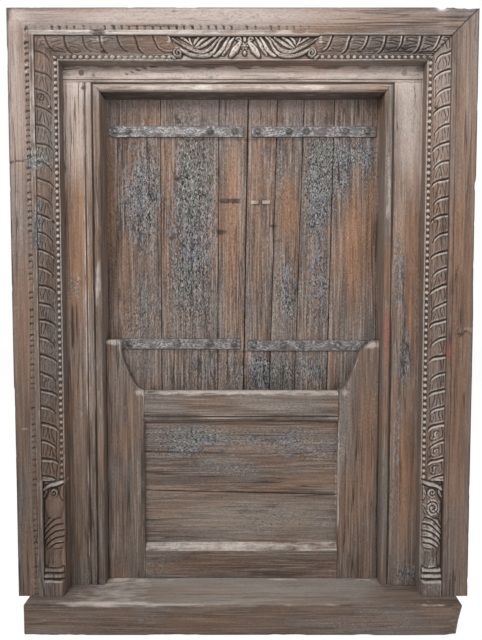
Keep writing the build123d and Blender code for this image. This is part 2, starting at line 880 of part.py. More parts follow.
def staple(x, z):
    """Iron staple driven from the back, its prongs clenched apart on the face."""
    front = leaf_front - staple_prong_thick
    bow = leaf_back + staple_bow_long
    half = staple_side / 2
    left_leg = square_pin(x - staple_leg_half, z, staple_side, front, bow)
    right_leg = square_pin(x + staple_leg_half, z, staple_side, front, bow)
    reach = staple_leg_half + half
    bridge = block(x - reach, x + reach, bow - staple_side, bow, z - half, z + half)
    tip = staple_leg_half + staple_prong_long
    high = staple_prong_high / 2
    left_prong = block(x - tip, x - staple_leg_half + half, front, leaf_front, z - high, z + high)
    right_prong = block(x + staple_leg_half - half, x + tip, front, leaf_front, z - high, z + high)
    return left_leg + right_leg + bridge + left_prong + right_prong


def staple_holes(x, z):
    """Holes for the two legs of a staple."""
    side = staple_side + staple_room * 2
    mouth = leaf_front - overrun
    floor = leaf_back + overrun
    return [square_pin(x + leg, z, side, mouth, floor) for leg in (-staple_leg_half, staple_leg_half)]


upper_z = leaf_high - upper_strap_drop
middle_z = leaf_low + middle_strap_rise
lower_z = leaf_low + lower_strap_rise
strap_hang = opening_half - strap_hang_inset
half_plank = plank_joint / 2
half_gap = meeting_gap / 2
left_free = edge(meeting_shares, -half_gap)
right_free = edge(meeting_shares, half_gap)


def nail_row(x0, x1, z, shares):
    """Places of the nails along a strap."""
    return [(x0 + (x1 - x0) * share, z) for share in shares]


# Left leaf
left_runs = [(-strap_hang, edge_at(left_free, z) - strap_meet_inset, z) for z in (upper_z, middle_z, lower_z)]
left_nail_shares = (left_upper_nail_shares, left_middle_nail_shares, left_lower_nail_shares)
left_spots = []
for run, shares in zip(left_runs, left_nail_shares):
    left_spots = left_spots + nail_row(*run, shares)
plank_nail = (opening_half * plank_nail_share, leaf_high - plank_nail_drop)
left_staple_z = leaf_low + left_staple_rise
left_staple_x = edge_at(left_free, left_staple_z) - left_staple_inset
left_holes = [nail_hole(x, z) for x, z in left_spots + [plank_nail]]
left_holes = left_holes + staple_holes(left_staple_x, left_staple_z)
left_hang = (-pivot_x, -pivot_x)
left_hanging = plank(left_hang, edge(left_edge_one_shares, -half_plank)) + hanging_edge(-pivot_x)
left_middle = plank(edge(left_edge_one_shares, half_plank), edge(left_edge_two_shares, -half_plank))
left_last = plank(edge(left_edge_two_shares, half_plank), left_free)
left_upper = strap(*left_runs[0])
left_upper = fillet(left_upper.edges().filter_by(Axis.Y).group_by(Axis.X)[0], strap_round)
keep("left_hanging_plank", left_hanging - left_holes)
keep("left_middle_plank", left_middle - left_holes)
keep("left_meeting_plank", left_last - left_holes)
keep("left_upper_strap", left_upper - left_holes)
keep("left_middle_strap", strap(*left_runs[1]) - left_holes)
keep("left_lower_strap", strap(*left_runs[2]) - left_holes)
left_leaf_nails = [nail(x, z, strap_front) for x, z in left_spots] + [nail(*plank_nail, leaf_front)]
keep("left_leaf_nails", Compound(children=left_leaf_nails))
keep("left_staple", staple(left_staple_x, left_staple_z))

# Right leaf
right_zs = (upper_z, middle_z - right_middle_drop, lower_z)
right_runs = [(edge_at(right_free, z) + strap_meet_inset, strap_hang, z) for z in right_zs]
right_nail_shares = (right_upper_nail_shares, right_middle_nail_shares, right_lower_nail_shares)
right_spots = []
for run, shares in zip(right_runs, right_nail_shares):
    right_spots = right_spots + nail_row(*run, shares)
right_staple_z = leaf_low + right_staple_rise
right_staple_x = edge_at(right_free, right_staple_z) + right_staple_inset
right_holes = [nail_hole(x, z) for x, z in right_spots]
right_holes = right_holes + staple_holes(right_staple_x, right_staple_z)
right_hang = (pivot_x, pivot_x)
right_hanging = plank(edge(right_edge_three_shares, half_plank), right_hang) + hanging_edge(pivot_x)
right_third = plank(edge(right_edge_two_shares, half_plank), edge(right_edge_three_shares, -half_plank))
right_second = plank(edge(right_edge_one_shares, half_plank), edge(right_edge_two_shares, -half_plank))
right_last = plank(right_free, edge(right_edge_one_shares, -half_plank))
keep("right_hanging_plank", right_hanging - right_holes)
keep("right_third_plank", right_third - right_holes)
keep("right_second_plank", right_second - right_holes)
keep("right_meeting_plank", right_last - right_holes)
keep("right_upper_strap", strap(*right_runs[0]) - right_holes)
keep("right_middle_strap", strap(*right_runs[1]) - right_holes)
keep("right_lower_strap", strap(*right_runs[2]) - right_holes)
keep("right_leaf_nails", Compound(children=[nail(x, z, strap_front) for x, z in right_spots]))
keep("right_staple", staple(right_staple_x, right_staple_z))
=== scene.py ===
import logging
import math
from collections.abc import Callable, Sequence
from dataclasses import dataclass, field
from enum import Enum
from itertools import pairwise, product

import bpy
import numpy as np
from mathutils import Euler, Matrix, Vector


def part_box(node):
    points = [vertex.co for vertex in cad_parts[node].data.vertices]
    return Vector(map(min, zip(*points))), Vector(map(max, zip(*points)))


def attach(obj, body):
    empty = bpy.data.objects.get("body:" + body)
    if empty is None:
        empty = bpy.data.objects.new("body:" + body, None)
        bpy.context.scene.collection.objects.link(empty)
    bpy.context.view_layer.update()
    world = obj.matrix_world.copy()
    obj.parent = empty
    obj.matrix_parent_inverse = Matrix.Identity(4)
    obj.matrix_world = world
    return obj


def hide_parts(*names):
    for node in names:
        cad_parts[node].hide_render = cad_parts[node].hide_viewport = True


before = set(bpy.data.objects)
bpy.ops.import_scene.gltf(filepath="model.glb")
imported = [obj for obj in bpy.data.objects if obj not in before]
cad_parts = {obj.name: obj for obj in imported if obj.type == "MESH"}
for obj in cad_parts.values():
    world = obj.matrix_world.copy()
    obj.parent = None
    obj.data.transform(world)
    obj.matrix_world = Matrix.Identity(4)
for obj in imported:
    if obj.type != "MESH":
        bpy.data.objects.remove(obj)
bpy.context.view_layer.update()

# Looks of a decorative wooden window: carved casing, beaded frame, guard panel and plank leaves.
# Sizes are millimetres, meshes are metres. X runs to the right, Y into the wall, Z up.

LOG = logging.getLogger("wooden_window")
MM = 0.001
BLOCK_FACES = ((0, 1, 3, 2), (4, 6, 7, 5), (0, 4, 5, 1), (2, 3, 7, 6), (0, 2, 6, 4), (1, 5, 7, 3))
ROD_SIDES = 24
BRIGHTEST = (0.8, 0.8, 0.8)
LIGHT_MIDDLE, LIGHT_REACH = 700, 620
VEINS = ((0.15, 0.04, 2.0), (0.32, 0.06, 2.0), (0.5, 0.07, 1.0), (0.68, 0.07, 2.0), (0.86, 0.03, 1.0))
Array = np.ndarray
Edge = Callable[[Array], Array]
Colour = tuple[float, float, float, float]
Point = tuple[float, float]
Triple = tuple[float, float, float]
Socket = bpy.types.NodeSocket


def paint_chip(red: int, green: int, blue: int) -> Colour:
    """Turn a colour as seen on a screen, 0 to 255, into linear light.

    Args:
        red: Red share.
        green: Green share.
        blue: Blue share.

    Returns:
        Linear red, green, blue and full alpha.
    """
    shares = [value / 255 for value in (red, green, blue)]
    linear = [s / 12.92 if s <= 0.04045 else ((s + 0.055) / 1.055) ** 2.4 for s in shares]
    return linear[0], linear[1], linear[2], 1.0


def unit(values: Array) -> Array:
    """Hold values between 0 and 1."""
    return np.clip(values, 0, 1)


def bell(gap: Array, reach: float, power: int = 2) -> Array:
    """One where a gap is nothing, falling away softly over a reach."""
    return np.exp(-((gap / reach) ** power))


class Run(Enum):
    """Which way the length of a timber lies."""

    UPRIGHT = "upright"
    LEVEL = "level"


class Side(Enum):
    """Side of the window, seen from the front."""

    LEFT = -1
    RIGHT = 1
    TOP = 0

    @property
    def word(self) -> str:
        """The side in the names of pieces."""
        return self.name.lower()


class Noise:
    """Smooth seeded noise on a plane, from -1 to 1."""

    def __init__(self, seed: int) -> None:
        """Fill the table that the noise is read from."""
        self.table = np.random.default_rng(seed).uniform(-1.0, 1.0, (128, 128))

    def at(self, x: Array, y: Array) -> Array:
        """Read one layer of noise.

        Args:
            x: Places on the first axis, one bump per unit.
            y: Places on the second axis.

        Returns:
            Noise at each place.
        """
        x, y = np.broadcast_arrays(x, y)
        column, row = np.floor(x).astype(int), np.floor(y).astype(int)
        fx, fy = x - column, y - row
        fx, fy = fx * fx * (3 - 2 * fx), fy * fy * (3 - 2 * fy)
        c0, c1, r0, r1 = column % 128, (column + 1) % 128, row % 128, (row + 1) % 128
        low = self.table[c0, r0] * (1 - fx) + self.table[c1, r0] * fx
        high = self.table[c0, r1] * (1 - fx) + self.table[c1, r1] * fx
        return low * (1 - fy) + high * fy

    def layers(self, x: Array, y: Array, count: int) -> Array:
        """Add several layers, each twice as fine and half as strong.

        Args:
            x: Places on the first axis.
            y: Places on the second axis.
            count: How many layers.

        Returns:
            Noise from about -1 to 1.
        """
        total = sum(self.at(x * 2**n + 17.3 * n, y * 2**n + 9.1 * n) * 0.5**n for n in range(count))
        return total / (2 - 0.5 ** (count - 1))


@dataclass(frozen=True)
class Patch:
    """Soft-edged area on the face of the window."""

    x: float
    z: float
    half_wide: float
    half_high: float
    strength: float

    def at(self, x: Array, z: Array) -> Array:
        """Strength of the patch at places on the face."""
        gap = ((x - self.x) / self.half_wide) ** 2 + ((z - self.z) / self.half_high) ** 2
        return self.strength * np.exp(-(gap**1.4))


def patches(*rows: tuple[float, float, float, float, float]) -> tuple[Patch, ...]:
    """Patches from rows of x, z, half width, half height and strength."""
    return tuple(Patch(*row) for row in rows)


@dataclass(frozen=True)
class Marks:
    """Where a face is bare and warm, where old paint stays, where it is lighter or darker, and where light
    and shade are painted into its colour.
    """

    bare: tuple[Patch, ...] = ()
    paint: tuple[Patch, ...] = ()
    # Lighter or darker patches: random variation, and painted light on the sill top, the head and the lit
    # tops.
    tone: tuple[Patch, ...] = ()
    # Pale patches: worn places, and painted highlights such as the line on the right guard stile.
    rubbed: tuple[Patch, ...] = ()
    # Dark patches: grimy places, and painted shadows under the iron straps.
    grimed: tuple[Patch, ...] = ()
    red: tuple[Patch, ...] = ()
    # Pale dusty patches, which on the sill top and the head also paint light.
    film: tuple[Patch, ...] = ()
    # Painted light: colour lighter towards the top and darker towards the bottom, as if lit from above.
    top_light: float = 0.0

    def read(self, some: Sequence[Patch], x: Array, z: Array) -> Array:
        """Sum of some patches at places on the face."""
        return sum((patch.at(x, z) for patch in some), np.zeros_like(x))


def eased_ring(outline: Sequence[Point], ease: float, step: float, coarse_out: float = -1e9) -> Array:
    """Points round a section, clockwise from its front left corner, with eased outer corners.

    Args:
        outline: Corners as across and out, clockwise with out upwards.
        ease: How far an outer corner is rounded.
        step: Largest gap between points.
        coarse_out: Edges wholly at or behind this depth get four times the gap.

    Returns:
        Rows of across, out, outer corner share and hollow share.
    """
    corners = np.asarray(outline, float)
    total = len(corners)
    rows: list[tuple[float, float, float, float]] = []
    reaches, kinds = [], []
    for i in range(total):
        before, here, after = corners[i - 1], corners[i], corners[(i + 1) % total]
        a, b = here - before, after - here
        la, lb = np.hypot(*a), np.hypot(*b)
        turn = (a[0] * b[1] - a[1] * b[0]) / (la * lb)
        kinds.append(turn)
        reaches.append(min(ease, 0.42 * la, 0.42 * lb) if turn < -0.35 else 0.0)
    for i in range(total):
        before, here, after = corners[i - 1], corners[i], corners[(i + 1) % total]
        a = (here - before) / np.hypot(*(here - before))
        b = (after - here) / np.hypot(*(after - here))
        if reaches[i] > 0:
            for t in (0.0, 0.34, 0.66, 1.0):
                start, end = here - a * reaches[i], here + b * reaches[i]
                spot = start * (1 - t) ** 2 + here * 2 * t * (1 - t) + end * t**2
                rows.append((spot[0], spot[1], 1.0 if 0 < t < 1 else 0.45, 0.0))
        else:
            rows.append((here[0], here[1], 0.0, 1.0 if kinds[i] > 0.2 else 0.0))
        start = here + b * reaches[i]
        end = after - b * reaches[(i + 1) % total]
        gap = np.hypot(*(end - start))
        wide = step * 4 if max(start[1], end[1]) <= coarse_out else step
        parts = int(math.ceil(gap / wide))
        for n in range(1, parts):
            spot = start + (end - start) * n / parts
            rows.append((spot[0], spot[1], 0.0, 0.0))
    return np.array(rows)


def ring_faces(base: int, rings: int, sides: int) -> list[list[int]]:
    """Faces between rings of points that follow each other.

    Args:
        base: Number of the first point.
        rings: How many rings.
        sides: Points per ring.

    Returns:
        Corner numbers of each face.
    """
    starts = [base + ring * sides for ring in range(rings)]
    pairs = [(n, (n + 1) % sides) for n in range(sides)]
    return [[a + n, a + m, b + m, b + n] for a, b in pairwise(starts) for n, m in pairs]


@dataclass
class Sweep:
    """A closed section carried along a timber or iron bar, one row of points per station."""

    name: str
    run: Run
    across: Array
    along: Array
    out: Array
    # Per point: how worn, with painted highlights, and how soiled, with painted shade.
    wear: Array
    dirt: Array
    seed: int
    across_from: float = 0.0
    across_sign: int = 1
    face: Array | float = 1.0
    veil: Array | float = 1.0
    extra_points: list[Array] = field(default_factory=list)
    extra_faces: list[list[int]] = field(default_factory=list)

    def normals(self) -> tuple[Array, Array]:
        """Outward direction in the section at every point."""
        du = np.roll(self.across, -1, 1) - np.roll(self.across, 1, 1)
        dd = np.roll(self.out, -1, 1) - np.roll(self.out, 1, 1)
        size = np.hypot(du, dd) + 1e-9
        return -dd / size, du / size

    def shave(self, depth: Array) -> None:
        """Take a depth off the surface, square to the section."""
        nu, nd = self.normals()
        self.across = self.across - nu * depth
        self.out = self.out - nd * depth

    def soil(self, amount: Array) -> None:
        """Add soiling and painted shade, up to full."""
        self.dirt = unit(self.dirt + amount)

    def polish(self, amount: Array) -> None:
        """Add worn paleness and painted highlights, up to full."""
        self.wear = unit(self.wear + amount)

    def sink(self, mark: Array, deep: float, dirt: float = 1.0) -> None:
        """Press a mark into the front and let dirt gather in it."""
        self.out = self.out - deep * mark
        self.soil(dirt * mark)

    def weather(self, swell: float, chip: float, sides: float = 1.0) -> None:
        """Hollow the surface along the grain and break the edges.

        Args:
            swell: Depth of the hollows.
            chip: Depth of the breaks along outer corners.
            sides: Share of the hollows that faces towards a neighbour get.
        """
        noise = Noise(self.seed)
        u, s, d = self.across, self.along, self.out
        broad = 0.5 + 0.5 * noise.layers(u / 34 + d / 50, s / 320, 2)
        fine = 0.5 + 0.5 * noise.layers(u / 8 + d / 11 + 31, s / 130, 2)
        breaks = unit(noise.layers(s / 38 + 5, (u + d) / 70 + 3, 3) * 1.6 - 0.1)
        rub = 0.25 + 0.25 * noise.layers(s / 150 + 60, (u - d) / 90, 2)
        facing = sides + (1 - sides) * np.abs(self.normals()[1]) ** 2
        self.shave(swell * (0.55 * broad + 0.45 * fine) * facing + chip * self.wear * (breaks + rub))
        bright = unit(0.3 + 1.2 * noise.layers(s / 80 + 40, (u + d) / 60 + 8, 2))
        self.soil(0.6 * self.wear * (1 - bright))
        self.wear = self.wear * bright

    def places(self) -> tuple[Array, Array, Array]:
        """Real places of all points as x, y and z."""
        u = self.across_from + self.across_sign * self.across
        if self.run is Run.UPRIGHT:
            return u, -self.out, self.along
        return self.along, -self.out, u

    def add_block(self, low: Sequence[float], high: Sequence[float]) -> None:
        """Join a plain block, such as a tenon, given by two corners."""
        base = sum(len(points) for points in self.extra_points)
        self.extra_points.append(np.array(list(product(*zip(low, high)))))
        self.extra_faces += [[base + corner for corner in quad] for quad in BLOCK_FACES]

    def add_rod(self, x: float, y: float, radius: float, z0: float, z1: float) -> None:
        """Join an upright round pin."""
        base = sum(len(points) for points in self.extra_points)
        turns = np.linspace(0, 2 * math.pi, ROD_SIDES, endpoint=False)
        rings = [(z0, 0.86), (z0 + 1.5, 1.0), (z1 - 1.5, 1.0), (z1, 0.86)]
        for z, r in rings:
            ring = [x + radius * r * np.cos(turns), y + radius * r * np.sin(turns), np.full(ROD_SIDES, z)]
            self.extra_points.append(np.stack(ring, 1))
        self.extra_faces += ring_faces(base, len(rings), ROD_SIDES)
        self.extra_faces.append([base + n for n in reversed(range(ROD_SIDES))])
        self.extra_faces.append([base + (len(rings) - 1) * ROD_SIDES + n for n in range(ROD_SIDES)])

    def solid(self) -> tuple[Array, Array, list[list[int]]]:
        """Work out the points and faces of the whole piece.

        Returns:
            Points of the sweep, points of its blocks and rods, and the faces of both.
        """
        rows, ring = self.across.shape
        index = np.arange(rows * ring).reshape(rows, ring)
        ahead = np.roll(index, -1, 1)
        quads = np.stack([index[:-1], ahead[:-1], ahead[1:], index[1:]], -1).reshape(-1, 4)
        points = np.stack(self.places(), -1).reshape(-1, 3)
        a, b, c = points[quads[:, 0]], points[quads[:, 1]], points[quads[:, 2]]
        swap = np.einsum("ij,ij->i", a - points.mean(0), np.cross(b - a, c - a)).sum() < 0
        first, last = index[0].tolist(), index[-1].tolist()
        faces = (quads[:, ::-1] if swap else quads).tolist()
        faces += [first if swap else first[::-1], last[::-1] if swap else last]
        extra = np.concatenate(self.extra_points) if self.extra_points else np.zeros((0, 3))
        faces += [[len(points) + corner for corner in face] for face in self.extra_faces]
        return points, extra, faces

    def make(
        self, finish: "Finish", body: str, slot: str, nodes: Sequence[str], marks: Marks, sharp: float = 48.0
    ) -> None:
        """Turn the sweep into a dressed piece that stands for its nodes.

        Args:
            finish: Finish of the piece.
            body: Body that it rides on.
            slot: Not used.
            nodes: Nodes that it stands for.
            marks: Patches on its face.
            sharp: Angle above which an edge stays crisp.
        """
        x, _, z = self.places()
        points, extra, faces = self.solid()
        mesh = bpy.data.meshes.new(self.name)
        mesh.from_pydata((np.concatenate([points, extra]) * MM).tolist(), [], faces)
        shift = np.random.default_rng(self.seed).uniform(0, 40, 3)
        grain = np.stack([self.across, self.along, self.out], -1).reshape(-1, 3)
        more = extra[:, [0, 2, 1]] if self.run is Run.UPRIGHT else extra[:, [2, 0, 1]]
        store(mesh, "grain", np.concatenate([grain, more]) * MM + shift)
        # Pale and dark patches add worn and grimy places, and also painted highlights and painted shadows.
        wear = unit(self.wear + marks.read(marks.rubbed, x, z))
        dirt = unit(self.dirt + marks.read(marks.grimed, x, z))
        fronts = (marks.red, marks.bare, marks.paint)
        red, bare, paint = (marks.read(some, x, z) * self.face for some in fronts)
        # Pale dusty layer, in places painted light.
        film = marks.read(marks.film, x, z) * self.face * self.veil
        # Painted light: colour lighter towards the top and darker towards the bottom, as if lit from above.
        lift = np.clip((z - LIGHT_MIDDLE) / LIGHT_REACH, -1, 1)
        tone = marks.read(marks.tone, x, z) + marks.top_light * lift
        blank = np.zeros((len(extra), 3))
        kept = {"age": (wear, dirt, red), "spots": (bare, paint, tone), "film": (film, film, film)}
        for name, values in kept.items():
            store(mesh, name, np.concatenate([np.stack(values, -1).reshape(-1, 3), blank]))
        show(mesh, finish, body, nodes, sharp)


def store(mesh: bpy.types.Mesh, name: str, values: Array) -> None:
    """Keep three numbers per point on a mesh for its finish to read."""
    layer = mesh.attributes.new(name, "FLOAT_VECTOR", "POINT")
    layer.data.foreach_set("vector", np.ascontiguousarray(values, np.float32).ravel())


def show(
    mesh: bpy.types.Mesh, finish: "Finish", body: str, nodes: Sequence[str], sharp: float
) -> None:
    """Place a mesh in the scene as a piece of the window.

    Args:
        mesh: Finished mesh.
        finish: Finish to dress it with.
        body: Body that it rides on.
        nodes: Nodes that it stands for.
        sharp: Angle above which an edge stays crisp.
    """
    mesh.shade_smooth()
    mesh.set_sharp_from_angle(angle=math.radians(sharp))
    mesh.materials.append(finish.material())
    piece = bpy.data.objects.new(mesh.name, mesh)
    bpy.context.collection.objects.link(piece)
    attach(piece, body)
    if nodes:
        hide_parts(*nodes)
    LOG.info("%s: %d faces on %s", mesh.name, len(mesh.polygons), body)


def stick(
    name: str,
    outline: Sequence[Point],
    ends: Point,
    run: Run,
    seed: int,
    ease: float = 2.0,
    step: float = 5.0,
    pitch: float = 6.0,
    coarse_out: float = -1e9,
    left: Edge | None = None,
    right: Edge | None = None,
    cut_low: Edge | None = None,
    cut_high: Edge | None = None,
    end_ease: float = 0.7,
) -> Sweep:
    """Sweep a section between two ends.

    Args:
        name: Name of the piece.
        outline: Section corners as across and out.
        ends: First and last place along the length.
        run: Which way the length lies.
        seed: Seed of its wear.
        ease: Rounding of outer corners.
        step: Gap between points of the section.
        pitch: Gap between stations.
        coarse_out: Depth at and behind which the section is coarser.
        left: Lower edge across at each place along, where it isn't straight.
        right: Upper edge across at each place along.
        cut_low: Shift of the first end across the section.
        cut_high: Shift of the last end across the section.
        end_ease: Rounding of the ends.

    Returns:
        The swept shape, not yet weathered.
    """
    ring = eased_ring(outline, ease, step, coarse_out)
    length = ends[1] - ends[0]
    count = max(4, int(length / pitch))
    shares = np.linspace(0, 1, count + 1)
    lip = end_ease / length
    shares = np.concatenate([[0.0, lip], shares[1:-1], [1 - lip, 1.0]])[:, None]
    across, out, wear, dirt = (np.repeat(row[None, :], len(shares), 0) for row in ring.T)
    low = ends[0] + (cut_low(across) if cut_low else 0.0)
    high = ends[1] + (cut_high(across) if cut_high else 0.0)
    along = low + (high - low) * shares
    along = np.broadcast_to(along, across.shape).copy()
    if left is not None and right is not None:
        start, wide = ring[:, 0].min(), np.ptp(ring[:, 0])
        across = left(along) + (across - start) / wide * (right(along) - left(along))
    wear[[0, -1]] = np.maximum(wear[[0, -1]], 0.6)
    sweep = Sweep(name, run, across, along, out, wear, dirt, seed)
    trim = np.zeros_like(across)
    trim[[0, -1]] = end_ease
    sweep.shave(trim)
    return sweep


def oblong(left: float, right: float, front: float, back: float) -> list[Point]:
    """Corners of a plain section, clockwise from its front left."""
    return [(left, front), (right, front), (right, back), (left, back)]


def blur(values: Array, rows: int, columns: int) -> Array:
    """Average a grid over a number of rows and columns either way.

    Args:
        values: Grid of numbers.
        rows: Reach along the first axis.
        columns: Reach along the second axis.

    Returns:
        Smoothed grid.
    """
    for axis, reach in ((0, rows), (1, columns)):
        pad = [(0, 0), (0, 0)]
        pad[axis] = (reach + 1, reach)
        sums = np.cumsum(np.pad(values, pad, mode="edge"), axis=axis)
        size = values.shape[axis]
        width = 2 * reach + 1
        upper = np.take(sums, range(width, width + size), axis=axis)
        values = (upper - np.take(sums, range(size), axis=axis)) / width
    return values


def smooth_line(points: Sequence[Point], per_gap: int = 6) -> list[Point]:
    """Curve through a few points, as a carver draws a stem.

    Args:
        points: Points that the curve passes.
        per_gap: Steps between two of them.

    Returns:
        Points along the curve.
    """
    spots = np.array([points[0], *points, points[-1]], float)
    line = []
    for i in range(1, len(spots) - 2):
        a, b, c, d = spots[i - 1 : i + 3]
        for t in np.linspace(0, 1, per_gap, endpoint=False):
            square, cube = 2 * a - 5 * b + 4 * c - d, 3 * b - a - 3 * c + d
            line.append(tuple(0.5 * (2 * b + (c - a) * t + square * t**2 + cube * t**3)))
    line.append(tuple(spots[-1]))
    return line


def band(
    x: Array, z: Array, points: Sequence[Point], radii: Triple, rise: float, vein: float = 0.0
) -> Array:
    """Height of a carved band that swells and tapers along a curve.

    Args:
        x: Places across.
        z: Places up.
        points: Points that the band passes.
        radii: Half width at its start, middle and end.
        rise: Height of its crown.
        vein: Share of the height that a groove along its middle takes away.

    Returns:
        Height over the floor, zero outside the band.
    """
    line = smooth_line(points)
    shares = np.linspace(0, 1, len(line))
    halves = np.interp(shares, (0, 0.5, 1), radii)
    best = np.zeros_like(x)
    for (p, q), (r0, r1) in zip(pairwise(line), pairwise(halves)):
        dx, dz = q[0] - p[0], q[1] - p[1]
        t = unit(((x - p[0]) * dx + (z - p[1]) * dz) / (dx * dx + dz * dz + 1e-9))
        gap = np.hypot(x - p[0] - t * dx, z - p[1] - t * dz) / (r0 + (r1 - r0) * t)
        height = rise * np.sqrt(np.clip(1 - gap**2, 0, None))
        best = np.maximum(best, height * (1 - vein * bell(gap, 0.42)))
    return best


class Wiring:
    """Short way to place and join shader nodes in one tree."""

    def __init__(self, tree: bpy.types.NodeTree) -> None:
        """Keep the tree that nodes go into."""
        self.tree = tree

    def add(
        self, kind: str, inputs: dict[str | int, object] | None = None, **settings: object
    ) -> bpy.types.Node:
        """Place a node.

        Args:
            kind: Blender's name of the node.
            inputs: Values or sockets for its inputs by name or number.
            **settings: Settings of the node.

        Returns:
            The node.
        """
        node = self.tree.nodes.new(kind)
        for name, value in settings.items():
            setattr(node, name, value)
        for name, value in (inputs or {}).items():
            self.put(node.inputs[name], value)
        return node

    def put(self, socket: Socket, value: object) -> None:
        """Set an input, or join a socket to it."""
        if isinstance(value, Socket):
            self.tree.links.new(value, socket)
        else:
            socket.default_value = value

    def sum(self, how: str, a: object, b: object = 0.0) -> Socket:
        """Work out a sum of two numbers."""
        return self.add("ShaderNodeMath", {0: a, 1: b}, operation=how).outputs[0]

    def times(self, a: object, b: object) -> Socket:
        """Multiply two numbers."""
        return self.sum("MULTIPLY", a, b)

    def plus(self, a: object, b: object) -> Socket:
        """Add two numbers."""
        return self.sum("ADD", a, b)

    def minus(self, a: object, b: object) -> Socket:
        """Take one number from another."""
        return self.sum("SUBTRACT", a, b)

    def parts(self, vector: object) -> bpy.types.bpy_prop_collection:
        """Split a vector into its three numbers."""
        return self.add("ShaderNodeSeparateXYZ", {"Vector": vector}).outputs

    def kept(self, name: str) -> Socket:
        """Read three numbers that a mesh keeps per point."""
        return self.add("ShaderNodeAttribute", attribute_name=name).outputs["Vector"]

    def blend(self, share: object, a: object, b: object) -> Socket:
        """Mix two colours by a share."""
        node = self.add("ShaderNodeMix", {0: share, 6: a, 7: b}, data_type="RGBA")
        return node.outputs[2]

    def noise(self, place: object, scale: Triple, detail: float, twist: float = 0.0) -> Socket:
        """Noise over stretched places."""
        far = self.add("ShaderNodeVectorMath", {0: place, 1: scale}, operation="MULTIPLY").outputs[0]
        inputs = {"Vector": far, "Scale": 1.0, "Detail": detail, "Distortion": twist}
        return self.add("ShaderNodeTexNoise", inputs).outputs["Fac"]

    def range(self, value: object, low: float, high: float) -> Socket:
        """Spread a stretch of values over 0 to 1."""
        node = self.add("ShaderNodeMapRange", {"Value": value, "From Min": low, "From Max": high})
        return node.outputs["Result"]

    def bump(self, strength: float, deep: float, height: object) -> Socket:
        """Fine relief from a height."""
        inputs = {"Strength": strength, "Distance": deep, "Height": height}
        return self.add("ShaderNodeBump", inputs).outputs[0]

    def surface(self, colour: object, rough: object, normal: object, more: dict[str, object]) -> None:
        """End a material with its shader.

        Args:
            colour: Base colour.
            rough: Roughness.
            normal: Normals of the fine relief.
            more: Further inputs of the shader by name.
        """
        inputs = {"Base Color": colour, "Roughness": rough, "Normal": normal, **more}
        shader = self.add("ShaderNodeBsdfPrincipled", inputs)
        self.add("ShaderNodeOutputMaterial", {"Surface": shader.outputs[0]})

    def seen(self) -> Socket:
        """One where the eye sees a thing itself, in a mirror or through glass, else zero."""
        path = self.add("ShaderNodeLightPath").outputs
        straight = self.sum("MAXIMUM", path["Is Camera Ray"], path["Is Glossy Ray"])
        return self.sum("MAXIMUM", straight, path["Is Transmission Ray"])

    def group(self, tree: bpy.types.NodeTree, inputs: dict[str, object]) -> bpy.types.Node:
        """Place a node group with its inputs."""
        return self.add("ShaderNodeGroup", inputs, node_tree=tree)


SOCKETS = {"v": "NodeSocketVector", "f": "NodeSocketFloat", "c": "NodeSocketColor"}


def new_group(
    name: str, inputs: dict[str, str], outputs: dict[str, str]
) -> tuple[Wiring, bpy.types.Node, bpy.types.Node]:
    """Start a shader node group.

    Args:
        name: Name of the group.
        inputs: Kind of each input by name.
        outputs: Kind of each output by name.

    Returns:
        Its wiring, its input node and its output node.
    """
    tree = bpy.data.node_groups.new(name, "ShaderNodeTree")
    for title, kind in inputs.items():
        tree.interface.new_socket(name=title, in_out="INPUT", socket_type=SOCKETS[kind])
    for title, kind in outputs.items():
        tree.interface.new_socket(name=title, in_out="OUTPUT", socket_type=SOCKETS[kind])
    return Wiring(tree), tree.nodes.new("NodeGroupInput"), tree.nodes.new("NodeGroupOutput")


def grain_group() -> bpy.types.NodeTree:
    """Grain of old timber: broad figure, streaks, checks and pits."""
    if "timber_grain" in bpy.data.node_groups:
        return bpy.data.node_groups["timber_grain"]
    kinds = {"Figure": "f", "Streak": "f", "Checks": "f", "Pits": "f", "Flecks": "f", "Cast": "f"}
    w, inp, out = new_group("timber_grain", {"Grain": "v"}, kinds)
    place = inp.outputs["Grain"]
    w.put(out.inputs["Figure"], w.noise(place, (55, 2.6, 55), 3, 0.9))
    w.put(out.inputs["Streak"], w.noise(place, (300, 8.0, 300), 4, 0.5))
    line = w.sum("ABSOLUTE", w.minus(w.noise(place, (95, 2.4, 95), 3, 0.8), 0.5))
    where = w.range(w.noise(place, (26, 4.0, 26), 2), 0.45, 0.62)
    thin = w.range(line, 0.026, 0.004)
    w.put(out.inputs["Checks"], w.times(thin, where))
    w.put(out.inputs["Cast"], w.noise(place, (14, 4.5, 14), 3, 0.5))
    w.put(out.inputs["Pits"], w.range(w.noise(place, (400, 180, 400), 3, 0.4), 0.53, 0.62))
    moved = w.add("ShaderNodeVectorMath", {0: place, 1: (3.1, 7.7, 1.3)}, operation="ADD").outputs[0]
    w.put(out.inputs["Flecks"], w.range(w.noise(moved, (400, 180, 400), 3, 0.4), 0.52, 0.62))
    return w.tree


def age_group() -> bpy.types.NodeTree:
    """Handling and painted light: pale worn edges and painted highlights, dark soiled hollows and painted
    shade, both broken up.
    """
    if "handling" in bpy.data.node_groups:
        return bpy.data.node_groups["handling"]
    needs = {"Grain": "v", "Wear": "f", "Dirt": "f"}
    w, inp, out = new_group("handling", needs, {"Rubbed": "f", "Grime": "f"})
    broken = w.minus(w.noise(inp.outputs["Grain"], (130, 34, 130), 4), 0.5)
    worn = w.plus(w.times(inp.outputs["Wear"], 1.15), w.times(broken, 1.3))
    w.put(out.inputs["Rubbed"], w.range(worn, 0.42, 0.95))
    foul = w.plus(w.times(inp.outputs["Dirt"], 1.15), w.times(broken, 0.8))
    w.put(out.inputs["Grime"], w.range(foul, 0.25, 0.9))
    return w.tree


